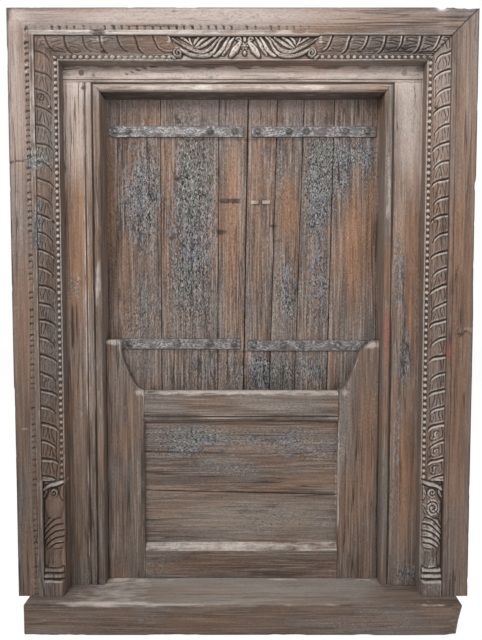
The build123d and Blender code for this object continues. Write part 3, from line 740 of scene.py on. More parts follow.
def paint_group() -> bpy.types.NodeTree:
    """Old paint that has flaked to specks along the grain."""
    if "flaked_paint" in bpy.data.node_groups:
        return bpy.data.node_groups["flaked_paint"]
    w, inp, out = new_group("flaked_paint", {"Grain": "v", "Amount": "f"}, {"Cover": "f", "Shade": "f"})
    place = inp.outputs["Grain"]
    broad = w.noise(place, (48, 13, 48), 4, 0.4)
    specks = w.noise(place, (215, 80, 215), 4, 0.3)
    total = w.plus(w.times(broad, 0.5), w.times(specks, 0.8))
    total = w.plus(total, w.times(inp.outputs["Amount"], 0.3))
    w.put(out.inputs["Cover"], w.range(total, 0.78, 0.9))
    w.put(out.inputs["Shade"], w.noise(place, (120, 40, 120), 4))
    return w.tree


@dataclass(frozen=True)
class Finish:
    """A finish of the window, made once and shared by its pieces."""

    name: str

    def material(self) -> bpy.types.Material:
        """The finish as a material, made when first asked for."""
        made = bpy.data.materials.get(self.name)
        if made is None:
            made = bpy.data.materials.new(self.name)
            made.use_nodes = True
            made.node_tree.nodes.clear()
            self.wire(Wiring(made.node_tree))
        return made

    def wire(self, w: Wiring) -> None:
        """Lay the nodes of the finish."""
        raise NotImplementedError


@dataclass(frozen=True)
class OldTimber(Finish):
    """Weathered timber with grain, checks, worn edges, soiling and remains of paint, with painted highlights,
    painted shade and painted light in its colour.
    """

    dark: Colour = paint_chip(88, 74, 66)
    body: Colour = paint_chip(128, 112, 102)
    pale: Colour = paint_chip(168, 153, 143)
    bare: Colour = paint_chip(146, 108, 82)
    paint: Colour = paint_chip(150, 151, 155)
    deep_paint: Colour = paint_chip(76, 83, 97)
    moss: Colour = paint_chip(112, 119, 109)
    fleck: Colour = paint_chip(190, 183, 177)
    # The pale colour below also paints highlights, and the dark one after it also paints shade.
    rubbed: Colour = paint_chip(204, 194, 186)
    grime: Colour = paint_chip(46, 38, 34)
    red: Colour = paint_chip(150, 96, 84)
    cool: Colour = paint_chip(128, 124, 122)
    umber: Colour = paint_chip(112, 84, 68)
    # Dusty colour, also used to paint light on the sill top and the head.
    dust: Colour = paint_chip(170, 155, 147)
    tone: float = 0.3
    flecked: float = 0.35
    pitted: float = 0.4
    checked: float = 0.75
    rough: float = 0.8

    def wire(self, w: Wiring) -> None:
        """Lay the nodes of the timber."""
        grain = w.kept("grain")
        age, spots, veil = (w.parts(w.kept(name)) for name in ("age", "spots", "film"))
        lines = w.group(grain_group(), {"Grain": grain}).outputs
        hands_and_light = w.group(age_group(), {"Grain": grain, "Wear": age["X"], "Dirt": age["Y"]}).outputs
        flakes = w.group(paint_group(), {"Grain": grain, "Amount": spots["Y"]}).outputs
        figure, streak = lines["Figure"], lines["Streak"]
        both = w.plus(w.times(figure, 0.55), w.times(streak, 0.45))
        colour = w.blend(w.range(both, 0.38, 0.6), self.dark, self.body)
        colour = w.blend(w.times(w.range(streak, 0.5, 0.66), 0.85), colour, self.pale)
        cast = lines["Cast"]
        colour = w.blend(w.times(w.range(cast, 0.5, 0.66), 0.45), colour, self.cool)
        colour = w.blend(w.times(w.range(cast, 0.5, 0.36), 0.35), colour, self.bare)
        drift = w.times(w.minus(cast, 0.5), 1.3)
        ragged = w.plus(drift, w.times(w.minus(both, 0.5), 1.2))
        warm = w.range(w.plus(spots["X"], ragged), 0.2, 0.8)
        bare = w.blend(w.range(both, 0.38, 0.6), self.umber, self.bare)
        colour = w.blend(w.times(warm, 0.8), colour, bare)
        # Pale dusty layer, which on the sill top and the head also stands for painted light.
        film = w.range(w.plus(veil["X"], w.times(ragged, 0.5)), 0.1, 0.9)
        colour = w.blend(w.times(film, 0.75), colour, self.dust)
        ruddy = w.plus(age["Z"], w.times(w.minus(streak, 0.5), 1.6))
        colour = w.blend(w.times(w.range(ruddy, 0.3, 0.8), 0.75), colour, self.red)
        residue = w.blend(w.range(flakes["Shade"], 0.38, 0.62), self.deep_paint, self.paint)
        residue = w.blend(w.times(w.range(cast, 0.5, 0.62), 0.7), residue, self.moss)
        colour = w.blend(w.times(flakes["Cover"], 0.8), colour, residue)
        crazed = w.range(w.plus(spots["Y"], w.times(ragged, 1.1)), 0.1, 1.0)
        more = w.plus(w.times(crazed, 0.75), self.flecked)
        colour = w.blend(w.times(lines["Flecks"], more), colour, self.fleck)
        # Pale where worn, and painted highlights on lips, ridges and edges.
        colour = w.blend(w.times(hands_and_light["Rubbed"], 0.8), colour, self.rubbed)
        deeper = w.plus(w.times(crazed, 0.75), self.pitted)
        colour = w.blend(w.times(lines["Pits"], deeper), colour, self.grime)
        # Dark where soiled, and painted shade in hollows, gaps, soffits and under the straps.
        colour = w.blend(w.times(hands_and_light["Grime"], 0.8), colour, self.grime)
        colour = w.blend(w.times(lines["Checks"], self.checked), colour, self.grime)
        # Lighter or darker by random variation and by painted light.
        level = w.plus(w.times(spots["Z"], self.tone), 1.0)
        lit = w.add("ShaderNodeVectorMath", {0: colour, "Scale": level}, operation="SCALE")
        rough = w.plus(w.times(streak, 0.2), self.rough - 0.1)
        rough = w.minus(rough, w.times(hands_and_light["Rubbed"], 0.12))
        height = w.plus(w.times(streak, 0.7), w.times(figure, 0.4))
        height = w.minus(height, w.times(lines["Checks"], 0.8))
        height = w.minus(height, w.times(lines["Pits"], 0.35))
        skin = w.plus(w.times(flakes["Cover"], 0.2), w.times(lines["Flecks"], 0.2))
        height = w.plus(height, skin)
        lifted = w.times(w.minus(lines["Flecks"], lines["Pits"]), w.times(crazed, 0.5))
        height = w.plus(height, lifted)
        most = w.add("ShaderNodeVectorMath", {0: lit.outputs[0], 1: BRIGHTEST}, operation="MINIMUM")
        w.surface(most.outputs[0], rough, w.bump(0.75, 0.002, height), {"Specular IOR Level": 0.25})


@dataclass(frozen=True)
class ForgedIron(Finish):
    """Forged iron, grey where worn, brown where it rusts, dark where soiled and where shadow is painted along
    the strap edges.
    """

    bright: Colour = paint_chip(158, 153, 151)
    grey: Colour = paint_chip(84, 82, 84)
    rust: Colour = paint_chip(84, 72, 66)
    foul: Colour = paint_chip(50, 45, 43)

    def wire(self, w: Wiring) -> None:
        """Lay the nodes of the iron."""
        place = w.add("ShaderNodeTexCoord").outputs["Object"]
        age = w.parts(w.kept("age"))
        broad = w.noise(place, (38, 38, 70), 4, 0.4)
        fine = w.noise(place, (170, 170, 330), 5, 0.5)
        colour = w.blend(w.range(fine, 0.44, 0.58), self.grey, self.bright)
        rusty = w.plus(w.times(broad, 0.7), w.times(fine, 0.4))
        spread = w.range(rusty, 0.54, 0.64)
        colour = w.blend(w.times(spread, 0.75), colour, self.rust)
        # Dark where soiled, and painted shadow lines along the strap edges.
        colour = w.blend(w.times(w.range(age["Y"], 0.1, 0.9), 0.85), colour, self.foul)
        metal = w.minus(0.45, w.times(spread, 0.4))
        rough = w.plus(w.times(spread, 0.25), 0.5)
        height = w.plus(fine, w.times(broad, 0.8))
        w.surface(colour, rough, w.bump(0.8, 0.0012, height), {"Metallic": metal})


@dataclass(frozen=True)
class PegEnd(Finish):
    """End grain of a whittled peg, darker than the timber round it."""

    rim: Colour = paint_chip(96, 81, 71)
    heart: Colour = paint_chip(134, 117, 104)
    faded: Colour = paint_chip(172, 154, 140)

    def wire(self, w: Wiring) -> None:
        """Lay the nodes of the peg."""
        place = w.add("ShaderNodeTexCoord").outputs["Object"]
        rings = w.noise(place, (500, 60, 500), 3, 0.6)
        colour = w.blend(w.range(rings, 0.36, 0.64), self.rim, self.heart)
        across = w.parts(place)["X"]
        colour = w.blend(w.range(across, -0.05, 0.05), colour, w.blend(rings, self.heart, self.faded))
        rough = w.plus(w.times(rings, 0.2), 0.7)
        w.surface(colour, rough, w.bump(0.4, 0.0008, rings), {})


CASING_WOOD = OldTimber(
    "casing_wood_finish",
    dark=paint_chip(108, 91, 82),
    body=paint_chip(128, 111, 101),
    pale=paint_chip(150, 133, 123),
    bare=paint_chip(148, 114, 91),
    dust=paint_chip(180, 166, 159),
    flecked=0.05,
    pitted=0.12,
)
FRAME_WOOD = OldTimber(
    "frame_wood_finish",
    dark=paint_chip(106, 88, 77),
    body=paint_chip(134, 116, 104),
    pale=paint_chip(162, 144, 132),
    bare=paint_chip(156, 117, 90),
    dust=paint_chip(188, 174, 166),
    flecked=0.06,
    pitted=0.15,
)
SILL_WOOD = OldTimber(
    "sill_wood_finish",
    dark=paint_chip(94, 79, 70),
    body=paint_chip(110, 94, 84),
    pale=paint_chip(128, 113, 102),
    bare=paint_chip(128, 98, 78),
    dust=paint_chip(176, 170, 162),
    flecked=0.06,
    pitted=0.12,
    checked=0.4,
)
GUARD_WOOD = OldTimber(
    "guard_wood_finish",
    dark=paint_chip(95, 80, 71),
    body=paint_chip(126, 109, 99),
    pale=paint_chip(157, 141, 130),
    bare=paint_chip(146, 110, 86),
    dust=paint_chip(150, 141, 130),
    flecked=0.08,
    pitted=0.2,
)
LEAF_WOOD = OldTimber(
    "leaf_wood_finish",
    dark=paint_chip(80, 66, 59),
    body=paint_chip(132, 115, 105),
    pale=paint_chip(172, 155, 145),
    bare=paint_chip(158, 116, 86),
    umber=paint_chip(116, 86, 68),
    dust=paint_chip(150, 135, 131),
    flecked=0.18,
    pitted=0.32,
)
IRON = ForgedIron("forged_iron_finish")
NAIL_IRON = ForgedIron(
    "nail_iron_finish",
    bright=paint_chip(138, 134, 132),
    grey=paint_chip(74, 70, 69),
    rust=paint_chip(64, 52, 46),
)
STAPLE_DARK = ForgedIron(
    "staple_dark_finish",
    bright=paint_chip(90, 79, 72),
    grey=paint_chip(60, 53, 49),
    rust=paint_chip(54, 45, 41),
)
STAPLE_IRON = ForgedIron(
    "staple_iron_finish",
    bright=paint_chip(178, 168, 160),
    grey=paint_chip(150, 140, 132),
    rust=paint_chip(126, 110, 100),
)
RUSTED_IRON = ForgedIron(
    "rusted_iron_finish",
    bright=paint_chip(132, 118, 108),
    grey=paint_chip(92, 78, 70),
    rust=paint_chip(84, 66, 56),
)
PEG_WOOD = PegEnd("peg_end_finish")


@dataclass
class CarvedCasing:
    """Carved surround: flat band with nicks, fillet, leaf strip, pearls, crest and feet."""

    wide: float = 104.0
    half: float = 500.0
    top: float = 1345.0
    low: float = 71.0
    foot_top: float = 329.0
    flat: float = 46.0
    floor: float = 32.5
    fillet_in: float = 58.0
    leaf_in: float = 93.0
    leaf_pitch: float = 38.0
    leaf_slant: float = 16.0
    pearl_pitch: float = 13.6
    nick_pitch: float = 16.5
    crest_center: float = 4.0
    crest_half: float = 156.0
    ground: float = 3.0
    station: float = 1.6
    front: float = 30.0
    crown: float = 48.6
    nick_from: float = 36.0
    nick_to: float = 47.9
    pearl_middle: float = 98.9
    left_loss: float = 538.0
    left_eye: Point = (70.0, 1160.0)
    left_crack: float = 1018.0
    left_dent: Point = (66.0, 1030.0)
    right_loss: float = 975.0
    right_knot: Point = (26.0, 660.0)
    top_loss: float = 420.0
    fillet_loss: float = -305.0
    marks: Marks = Marks(
        bare=patches(
            (470, 780, 30, 230, 0.95), (470, 420, 30, 190, 0.7), (-470, 700, 30, 150, 0.55),
            (-478, 480, 18, 140, 0.4), (-470, 150, 20, 100, 0.45), (300, 1322, 120, 14, 0.3),
        ),
        paint=patches((-440, 1030, 28, 26, 0.9), (-440, 892, 9, 72, 1.1), (-424, 520, 20, 60, 0.3)),
        red=patches(
            (446, 620, 12, 26, 0.6), (452, 560, 9, 160, 0.35), (455, 900, 12, 120, 0.3),
            (230, 1299, 150, 4, 0.3), (-480, 640, 16, 60, 0.4),
        ),
        rubbed=patches(
            (420, 1343, 14, 9, 1.0), (-305, 1278, 22, 7, 0.5), (-250, 1292, 190, 6, 0.8),
            (60, 1292, 90, 5, 0.35), (-447, 1130, 4, 140, 0.4), (-200, 1246, 190, 6, 0.7),
            (-418, 324, 26, 7, 1.0), (-478, 446, 14, 3, 0.6), (480, 664, 20, 9, 0.42),
            (418, 326, 24, 10, 0.6), (0, 1340, 300, 8, 0.3),
        ),
        grimed=patches(
            (-494, 1328, 7, 15, 0.6), (-425, 1262, 70, 16, 0.35), (-430, 1150, 16, 110, 0.25),
            (330, 1264, 90, 14, 0.4),
        ),
        # Lighter or darker patches: random variation, and painted light that makes the top band lighter.
        tone=patches(
            (-60, 1325, 460, 26, 0.5), (-490, 1120, 40, 230, 0.3), (424, 1090, 26, 170, 0.3),
            (480, 1120, 22, 150, 0.15), (4, 1266, 150, 24, 0.85), (424, 420, 24, 110, 0.45),
            (-424, 250, 24, 150, -0.4), (-424, 600, 24, 400, -0.95), (-270, 1270, 130, 20, -0.7),
            (290, 1270, 120, 20, -0.7), (-480, 330, 40, 260, -1.0),
        ),
        film=patches(
            (-100, 1326, 430, 24, 0.9), (-482, 1150, 24, 230, 0.75), (484, 1180, 20, 140, 0.35),
            (424, 1120, 22, 180, 0.55), (4, 1264, 170, 24, 0.4),
        ),
        top_light=0.5,
    )

    def section(self) -> tuple[Array, Array]:
        """Points round the section from the outer front edge inwards.

        Returns:
            Across and out of each point.
        """
        front = [(0.0, 42.0), (0.8, 44.6), (2.6, 45.8)]
        front += [(u, self.flat) for u in np.linspace(5, 36, 8)]
        front += [(u, self.flat) for u in np.linspace(38, 46.6, 8)]
        front += [(47.5, 46.0), (48.0, 47.3), (48.6, 48.7), (50.0, 49.0), (53.0, 49.0), (56.2, 49.0)]
        front += [(57.4, 48.6), (58.0, 46.4), (58.5, 44.2)]
        strip = np.linspace(59.4, 93, 33)
        front += zip(strip, np.interp(strip, (58, 78, 93), (44.0, 41.0, 32.5)))
        front += [(u, self.floor) for u in np.linspace(93.8, 103.4, 13)]
        front += [(104.0, 31.8), (104.0, 22.0), (104.0, 11.0), (104.0, 0.0)]
        front += [(78.0, 0.0), (52.0, 0.0), (26.0, 0.0), (0.0, 0.0), (0.0, 12.0), (0.0, 26.0), (0.0, 36.0)]
        ring = np.array(front)
        return ring[:, 0], ring[:, 1]

    def leaves(self, u: Array, s: Array, seed: int, curled: Array | float = 0.0) -> Array:
        """Relief of the leaf strip: slanting cuts, every second one half as long, with veins.

        Args:
            u: Places across the casing.
            s: Places along it, growing towards the tip of the slant.
            seed: Seed of the carver's unevenness.
            curled: Share of a curl that stands in place of the veins.

        Returns:
            Height over the plain strip.
        """
        hand = Noise(seed)
        a = unit((u - self.fillet_in) / (self.leaf_in - self.fillet_in))
        place = s + 4.0 * hand.layers(s / 60, a * 1.2 + 3, 2)
        pair = 2 * self.leaf_pitch
        full = (place + self.leaf_slant * (0.25 * a + 0.35 * a**2 + 0.55 * a**7)) / pair
        t = a / 0.84
        half = (place + self.leaf_slant * (0.25 * t + 0.35 * t**2 + 0.4 * t**6)) / pair - 0.5
        off_full, off_half = (full - np.round(full)) * pair, (half - np.round(half)) * pair
        reach = unit((0.86 - a) * 9)
        long_cut = 5.2 * np.exp(-np.abs(off_full / np.where(off_full > 0, 2.6, 1.3)) ** 1.7)
        short_cut = 4.6 * np.exp(-np.abs(off_half / np.where(off_half > 0, 2.3, 1.2)) ** 1.7) * reach
        lip = 2.0 * bell(off_full + 4.0, 2.2) + 1.7 * bell(off_half + 3.8, 2.0) * reach
        swell = 1.5 * np.sin(np.pi * np.mod(full, 1.0)) ** 0.6 * np.sin(np.pi * np.clip(a, 0.02, 0.98)) ** 0.5
        worn = np.clip(0.7 + 0.6 * hand.layers(s / 70 + 20, a * 1.5, 2), 0.3, 1.2)
        clear = unit((np.abs(off_full) - 3) / 7) * (1 - reach * (1 - unit((np.abs(off_half) - 3) / 7)))
        veins = np.zeros_like(a)
        for middle, sway, turns in VEINS:
            wander = 1.5 * hand.at(s / 55, a * 0 + 11)
            line = middle + sway * np.sin(2 * np.pi * turns * full + 9 * middle + wander)
            veins += 3.0 * bell((a - line) * 35, 1.2)
        dx, dy = (a - 0.46) * 35, (np.mod(2 * full, 1.0) - 0.52) * self.leaf_pitch
        coil = (np.abs(dx) ** 3.4 + np.abs(dy) ** 3.4) ** (1 / 3.4) + 1.2 * hand.layers(s / 9, a * 4, 2)
        hook = bell(coil - 6 - 0.1 * dx, 1.2) * unit(1 + (dx + dy) / 6)
        rings = 2.8 * bell(coil - 12.5, 1.2) + 3.0 * hook + 1.6 * bell(coil - 1.2, 1.4)
        veins = veins + (rings - 0.6 * veins) * curled
        eye = np.hypot((a - 0.84) * 35, off_half + 1.0)
        drill = 3.0 * bell(eye, 2.2)
        inside = unit(a * 14) * unit((1 - a) * 9)
        ridge = 2.2 * bell(u - self.leaf_in - 0.4, 0.9)
        rough = 0.7 * hand.layers(s / 6, u / 4, 2)
        return (lip + swell - long_cut - short_cut - veins * worn * clear - drill + rough) * inside + ridge

    def pearls(self, u: Array, s: Array) -> Array:
        """Relief of the row of pearls at the inner edge."""
        near = np.mod(s, self.pearl_pitch) - self.pearl_pitch / 2
        number = np.floor(s / self.pearl_pitch) * 1.37
        size = 0.86 + 0.14 * Noise(5).at(number, number * 0)
        round_gap = 1 - ((u - self.pearl_middle) / (4.6 * size)) ** 2 - (near / (5.5 * size)) ** 2
        return 5.5 * size * np.sqrt(np.clip(round_gap, 0, None))

    def nicks(self, side: Side, u: Array, s: Array, seed: int) -> Array:
        """Relief of the chisel nicks beside the fillet, crisp on the left, worn away on the right.

        Args:
            side: Which casing it is.
            u: Places across.
            s: Places along.
            seed: Seed of the carver's unevenness.

        Returns:
            Height over the flat band, below zero in the nicks.
        """
        hand = Noise(seed)
        pitch = self.nick_pitch * (1.0 if side is Side.TOP else 0.8)
        place = (s + 3.0 * hand.at(s / 24, s * 0)) / pitch
        near = (place - np.floor(place) - 0.5) * pitch
        if side is Side.TOP:
            keep = np.interp(s, (-60, 60, 200), (1.2, 0.6, 0.15))
        else:
            keep = np.interp(s, (330, 900, 1250), (0.5, 0.85, 1.1)) if side is Side.LEFT else 0.18
        keep = keep * np.clip(0.8 + 0.7 * hand.at(np.floor(place) * 1.7, s * 0 + 4), 0.1, 1.2)
        cross = unit((u - 37.5) / 2.5) * unit((47.8 - u) / 1.0)
        tail = bell(u - 39.5, 1.8) * bell(near + 2.5, 3.2)
        return -keep * (2.6 * cross * bell(near, 2.3) + 2.0 * tail)

    def crest(self, x: Array, v: Array) -> Array:
        """Relief of the crest: flower, lobes, hanging leaves, fanned blades and scrolled stems.

        Args:
            x: Places to the right of its middle.
            v: Heights over its lower edge.

        Returns:
            Height over the carved floor.
        """
        m = np.abs(x)
        turn = np.linspace(0.4, 5.2 * math.pi / 2 + 2.2, 15)
        sizes = 9.8 - 0.8 * turn
        spiral = list(zip(142 + sizes * np.cos(-turn + 2.0), 11.5 + sizes * np.sin(-turn + 2.0)))
        stem = [(44, 44), (53, 36), (61, 21), (71, 10), (90, 5), (112, 7.5), (128, 14), (137, 19)]
        long_blade = [(52, 44), (62, 34), (75, 20), (92, 14), (112, 19), (135, 30), (153, 41)]
        shapes = [
            band(m, v, stem, (1.6, 3.8, 2.6), 13.5, 0.45),
            band(m, v, spiral, (2.4, 2.1, 1.5), 13.0),
            band(m, v, long_blade, (1.8, 4.0, 1.4), 12.0, 0.55),
            band(m, v, [(63, 44), (76, 35), (90, 26), (103, 21)], (2.4, 3.8, 1.2), 11.5, 0.55),
            band(m, v, [(80, 44), (92, 37), (101, 28), (106, 23)], (2.2, 3.4, 1.0), 9.5, 0.5),
            band(m, v, [(98, 44), (104, 38), (108, 30)], (2.6, 3.6, 1.4), 9.0, 0.45),
            band(m, v, [(118, 43), (116, 35), (111, 28)], (2.0, 2.6, 1.2), 8.0, 0.3),
            band(m, v, [(136, 44), (126, 39), (117, 32)], (2.0, 2.8, 1.0), 9.0, 0.35),
            band(m, v, [(33, 44), (40, 33), (47, 20), (60, 8), (66, 6)], (2.2, 4.6, 1.6), 11.5, 0.55),
            band(m, v, [(23, 44), (31, 34), (38, 21), (47, 8)], (2.0, 4.4, 1.6), 10.5, 0.55),
            band(m, v, [(9, 33), (17, 23), (25, 13), (30, 6)], (4.2, 7.6, 3.4), 13.0, 0.3),
            band(m, v, [(18, 41), (12, 43), (8, 40), (11, 36.5), (15, 38)], (2.2, 2.2, 1.6), 11.0),
            band(m, v, [(0, 38), (0, 45)], (3.4, 4.6, 3.4), 10.0, 0.3),
            band(m, v, [(0, 8), (0, 15)], (1.5, 3.6, 2.4), 10.5),
            band(m, v, [(150, 3), (156, 6)], (3.5, 3.0, 2.0), 8.0),
        ]
        round_gap = np.hypot(x, v - 26)
        petals = 1 + 0.22 * np.cos(6 * np.arctan2(v - 26, x))
        flower = 12.5 * np.sqrt(np.clip(1 - (round_gap / (7.6 * petals)) ** 2, 0, None))
        shapes.append(flower - 4.5 * bell(round_gap - 3.6, 1.0))
        return np.maximum.reduce(shapes)

    def foot(self, side: Side, u: Array, z: Array, wave: Noise) -> Array:
        """Relief of a foot: plinth, two rolls, neck, twisted leaf, vase and a scroll under leaf tips.

        Args:
            side: Which casing it is; the right one has scrolls cut into its vase.
            u: Places across the casing.
            z: Heights.
            wave: Noise of the carver's unevenness.

        Returns:
            Height over the carved floor.
        """
        c = u - 81.0
        knots = (133, 140, 150, 160, 165, 174, 182, 196, 222, 236, 245, 256, 270, 282, 292, 302)
        halves = (17, 15, 13.5, 13, 14, 17, 20, 22.8, 22.8, 19, 15, 19, 21.8, 20, 15, 11)
        crowns = (9, 9.5, 9.5, 9, 9, 9.5, 11, 12.5, 12.5, 11, 9.5, 11.5, 12.5, 11.5, 9, 6)
        half, crown = np.interp(z, knots, halves), np.interp(z, knots, crowns)
        inside = ((z > 133) & (z < 303)).astype(float)
        body = crown * np.sqrt(np.clip(1 - (np.abs(c) / half) ** 2.2, 0, None)) * inside
        solid = body > 1
        twist = unit((z - 172) / 8) * unit((249 - z) / 8)
        phase = np.mod((z - 0.6 * c + 0.022 * c**2 + 1.5 * wave.at(u / 14, z / 20)) / 13.8, 1.0)
        flute = 4.4 * bell(phase - 0.42, 0.16) - 1.3 * bell(phase - 0.7, 0.13)
        body -= twist * np.where(solid, flute, 0)
        frill = unit((z - 138) / 5) * unit((168 - z) / 6)
        body -= frill * np.where(solid, 1.2 * bell(np.mod(c + 0.2 * (z - 150), 9.5) - 4.75, 1.3), 0)
        if side is Side.RIGHT:
            turn = np.linspace(0.0, 3.4 * math.pi, 26)
            wide, high = 13.5 - 1.05 * turn, 15.5 - 1.2 * turn
            scroll = list(zip(-1 + wide * np.cos(turn + 0.6), 268 + high * np.sin(turn + 0.6)))
            body -= np.where(solid, band(c, z, scroll, (1.5, 1.5, 1.3), 4.2), 0)
            for start, end in (((-19, 250), (6, 288)), ((-8, 243), (19, 272)), ((14, 250), (21, 290))):
                bow = ((start[0] + end[0]) / 2 + 3, (start[1] + end[1]) / 2 - 4)
                body -= np.where(solid, band(c, z, [start, bow, end], (0.8, 1.4, 0.8), 2.6), 0)
        edge = unit((23 - np.abs(c)) / 1.6)
        plinth = 14.5 * edge * unit((106 - z) / 1.4)
        roll_low = 12.5 * edge**0.5 * np.sqrt(np.clip(1 - ((z - 113.5) / 6.4) ** 2, 0, None))
        roll_high = 11.0 * unit((21.8 - np.abs(c)) / 1.6) ** 0.5
        roll_high = roll_high * np.sqrt(np.clip(1 - ((z - 126.5) / 6.2) ** 2, 0, None))
        turn = np.linspace(0.0, 2.9 * math.pi, 22)
        sizes = 9.5 - 0.95 * turn
        curl = list(zip(1 + sizes * np.cos(turn - 2.2), 302 + sizes * np.sin(turn - 2.2)))
        volute = band(c, z, curl, (2.6, 2.4, 1.8), 10.5)
        tip = band(c, z, [(-20, 309), (-8, 317), (8, 321), (21, 326)], (3.0, 5.0, 3.6), 11.0, 0.15)
        blade = band(c, z, [(-21, 292), (-16, 303), (-19, 316)], (2.2, 3.4, 1.4), 9.0, 0.3)
        spur = band(c, z, [(20, 288), (17, 300), (20, 316)], (2.2, 3.8, 2.4), 9.5, 0.3)
        uneven = (1.9 if side is Side.RIGHT else 1.0) * wave.layers(u / 7, z / 8, 3)
        shape = np.maximum.reduce([body, plinth, roll_low, roll_high, volute, tip, blade, spur])
        return np.where(shape > 0.5, np.clip(shape + uneven, 0, 14.5), shape)

    def relief(self, side: Side, u: Array, s: Array, out: Array, seed: int) -> Array:
        """Carve the front of one casing.

        Args:
            side: Which casing it is.
            u: Places across.
            s: Places along, in real coordinates.
            out: Depth of the plain section.
            seed: Seed of the carver's unevenness.

        Returns:
            Depth of the carved surface.
        """
        front = out > self.front
        strip = front & (u > self.fillet_in + 0.3)
        beads = u > self.leaf_in + 0.5
        if side is Side.TOP:
            x = s - self.crest_center
            leaf = self.leaves(u, np.where(x < 0, -s, s), seed)
            leaf = leaf * np.interp(x, (-400, -170, 170, 400), (0.5, 0.65, 0.9, 1.0))
            pearl = self.floor + self.pearls(u, s)
            plain = np.where(beads, np.maximum(out + leaf, pearl), out + leaf)
            sunk = unit((self.crest_half + 7 - np.abs(x) + 3 * np.sin(u / 6)) / 13)
            lowered = np.minimum(plain, self.floor + self.ground)
            lowered = np.where(u > self.leaf_in - 1, self.floor + 1.0, lowered)
            ground = plain + (lowered - plain) * sunk
            crest = self.crest(x, self.wide - u)
            middle = self.floor + crest + 2.3 * Noise(seed + 2).layers(s / 5, u / 4, 3) * (crest > 1)
            carved = np.where(np.abs(x) < self.crest_half + 14, np.maximum(ground, middle), plain)
        else:
            crisp = np.interp(s, (330, 900, 1150), (0.9, 0.75, 0.45)) if side is Side.LEFT else 0.95
            curled = unit((480 - s) / 30) if side is Side.RIGHT else 0.0
            leaf = self.leaves(u, s, seed, curled) * crisp
            pearl = self.floor + self.pearls(u, s - self.foot_top)
            base = np.maximum(self.foot(side, u, s, Noise(seed + 3)), self.ground - 0.6)
            above = np.where(beads, np.maximum(out + leaf, pearl), out + leaf)
            carved = np.where(s < self.foot_top, self.floor + base, above)
        carved = np.where(strip, np.minimum(carved, self.crown), out)
        nick = self.nicks(side, u, s, seed + 5)
        return np.where(front & (u > self.nick_from) & (u < self.nick_to), carved + nick, carved)

    def handled(self, side: Side, u: Array, s: Array, out: Array, carved: Array) -> tuple[Array, Array]:
        """Pale where the carving stands proud and dark where it lies deep: partly real rubbing and soiling,
        partly painted highlights and painted shade.

        Args:
            side: Which casing it is.
            u: Places across.
            s: Places along.
            out: Depth of the plain section.
            carved: Depth of the carved surface.

        Returns:
            Pale and dark amounts of every point, painted highlights and shade included.
        """
        face = (out > self.front).astype(float)
        bulge = carved - blur(carved, 3, 2)
        if side is Side.TOP:
            keen = np.interp(s, (-400, -170, -150, 150, 170), (0.35, 0.4, 0.9, 0.9, 0.65))
            deep_strip = np.abs(s - self.crest_center) < self.crest_half + 8
            shine = 0.5
        else:
            deep_strip = s < self.foot_top
            if side is Side.LEFT:
                keen = np.interp(s, (self.foot_top, self.foot_top + 1, 900), (0.3, 0.55, 0.4))
                bead_keen = np.interp(s, (500, 750), (0.5, 0.75))
                shine = 0.06
            else:
                keen = bead_keen = np.where(deep_strip, 0.95, 0.75)
                shine = 0.26
            keen = np.where((u > self.leaf_in) & (s > self.foot_top), bead_keen, keen)
            keen = keen * np.where((u > 101.5) & deep_strip, 0.2, 1.0)
        deep_strip = deep_strip & (u > self.fillet_in)
        # Painted highlights on proud lips and ridges, with real rubbing.
        wear = unit(bulge * 0.8 * np.where(u > self.fillet_in, keen, 0.7)) * face
        depth = unit((out - carved) / 7.0) * face
        # Painted shade in hollows and deep carving, with real soiling.
        dirt = unit(unit(-bulge * 0.75) * face + np.where(deep_strip, 0.18, 0.35) * depth)
        # Painted highlight on the highest carving of the crest and feet.
        proud = unit((carved - self.floor - 6.5) / 5) * deep_strip * shine
        wear = unit(wear + proud + 0.08 * ((u > 48.4) & (u < 57.6)) * face)
        if side is Side.RIGHT:
            fillet = (u > 47) & (u < 59) & (out > self.front)
            wear = np.where(fillet, 0.15 * wear, wear)
            dirt = unit(dirt + 0.25 * fillet)
        return wear, dirt

    def damage(self, side: Side, sweep: Sweep, out: Array, noise: Noise) -> None:
        """Break edges and add cracks, knots and losses.

        Args:
            side: Which casing it is.
            sweep: Its sweep.
            out: Depth of the plain section.
            noise: Noise of its wear.
        """
        u, s, face = sweep.across, sweep.along, (out > self.front).astype(float)
        edge = bell(u, 4.0) * (out > 20)
        sweep.soil(0.9 * edge)
        trim = edge * (0.1 + 1.1 * unit(noise.layers(s / 26 + 3, u / 9, 3) * 2 - 0.5))
        if side is Side.LEFT:
            trim += np.where((u < 1.0) & (out > 5), 3.2 * unit((self.left_loss - s) / 10), 0)
            eye = np.hypot(u - self.left_eye[0], s - self.left_eye[1])
            sweep.sink(bell(eye - 6.5, 1.1) + bell(eye, 2.0), 2.2, 0.8)
            line = self.left_crack + 0.3 * u + 2.5 * np.sin(u / 7)
            sweep.sink(bell(s - line, 1.3) * face * (u < 60), 3.0)
            dent = ((u - self.left_dent[0]) / 26) ** 4 + ((s - self.left_dent[1]) / 24) ** 4
            dent = np.exp(-dent) * face * (u > 40)
            sweep.out = sweep.out * (1 - 0.75 * dent) + 0.75 * dent * np.minimum(sweep.out, 41.0)
        if side is Side.RIGHT:
            below = unit((self.right_loss - s) / 8) * unit((s - 700) / 60)
            trim += edge * (2.6 * bell(s - self.right_loss, 9) + 1.6 * below)
            knot = ((u - self.right_knot[0]) / 20) ** 2 + ((s - self.right_knot[1]) / 11) ** 2
            knot = np.exp(-(knot**2)) * face
            sweep.out = sweep.out - 3.0 * knot * (0.5 + 0.5 * noise.layers(s / 5, u / 5, 2))
            sweep.soil(knot * np.clip(0.2 + 1.6 * noise.layers(s / 6, u / 9, 2), 0, 0.8))
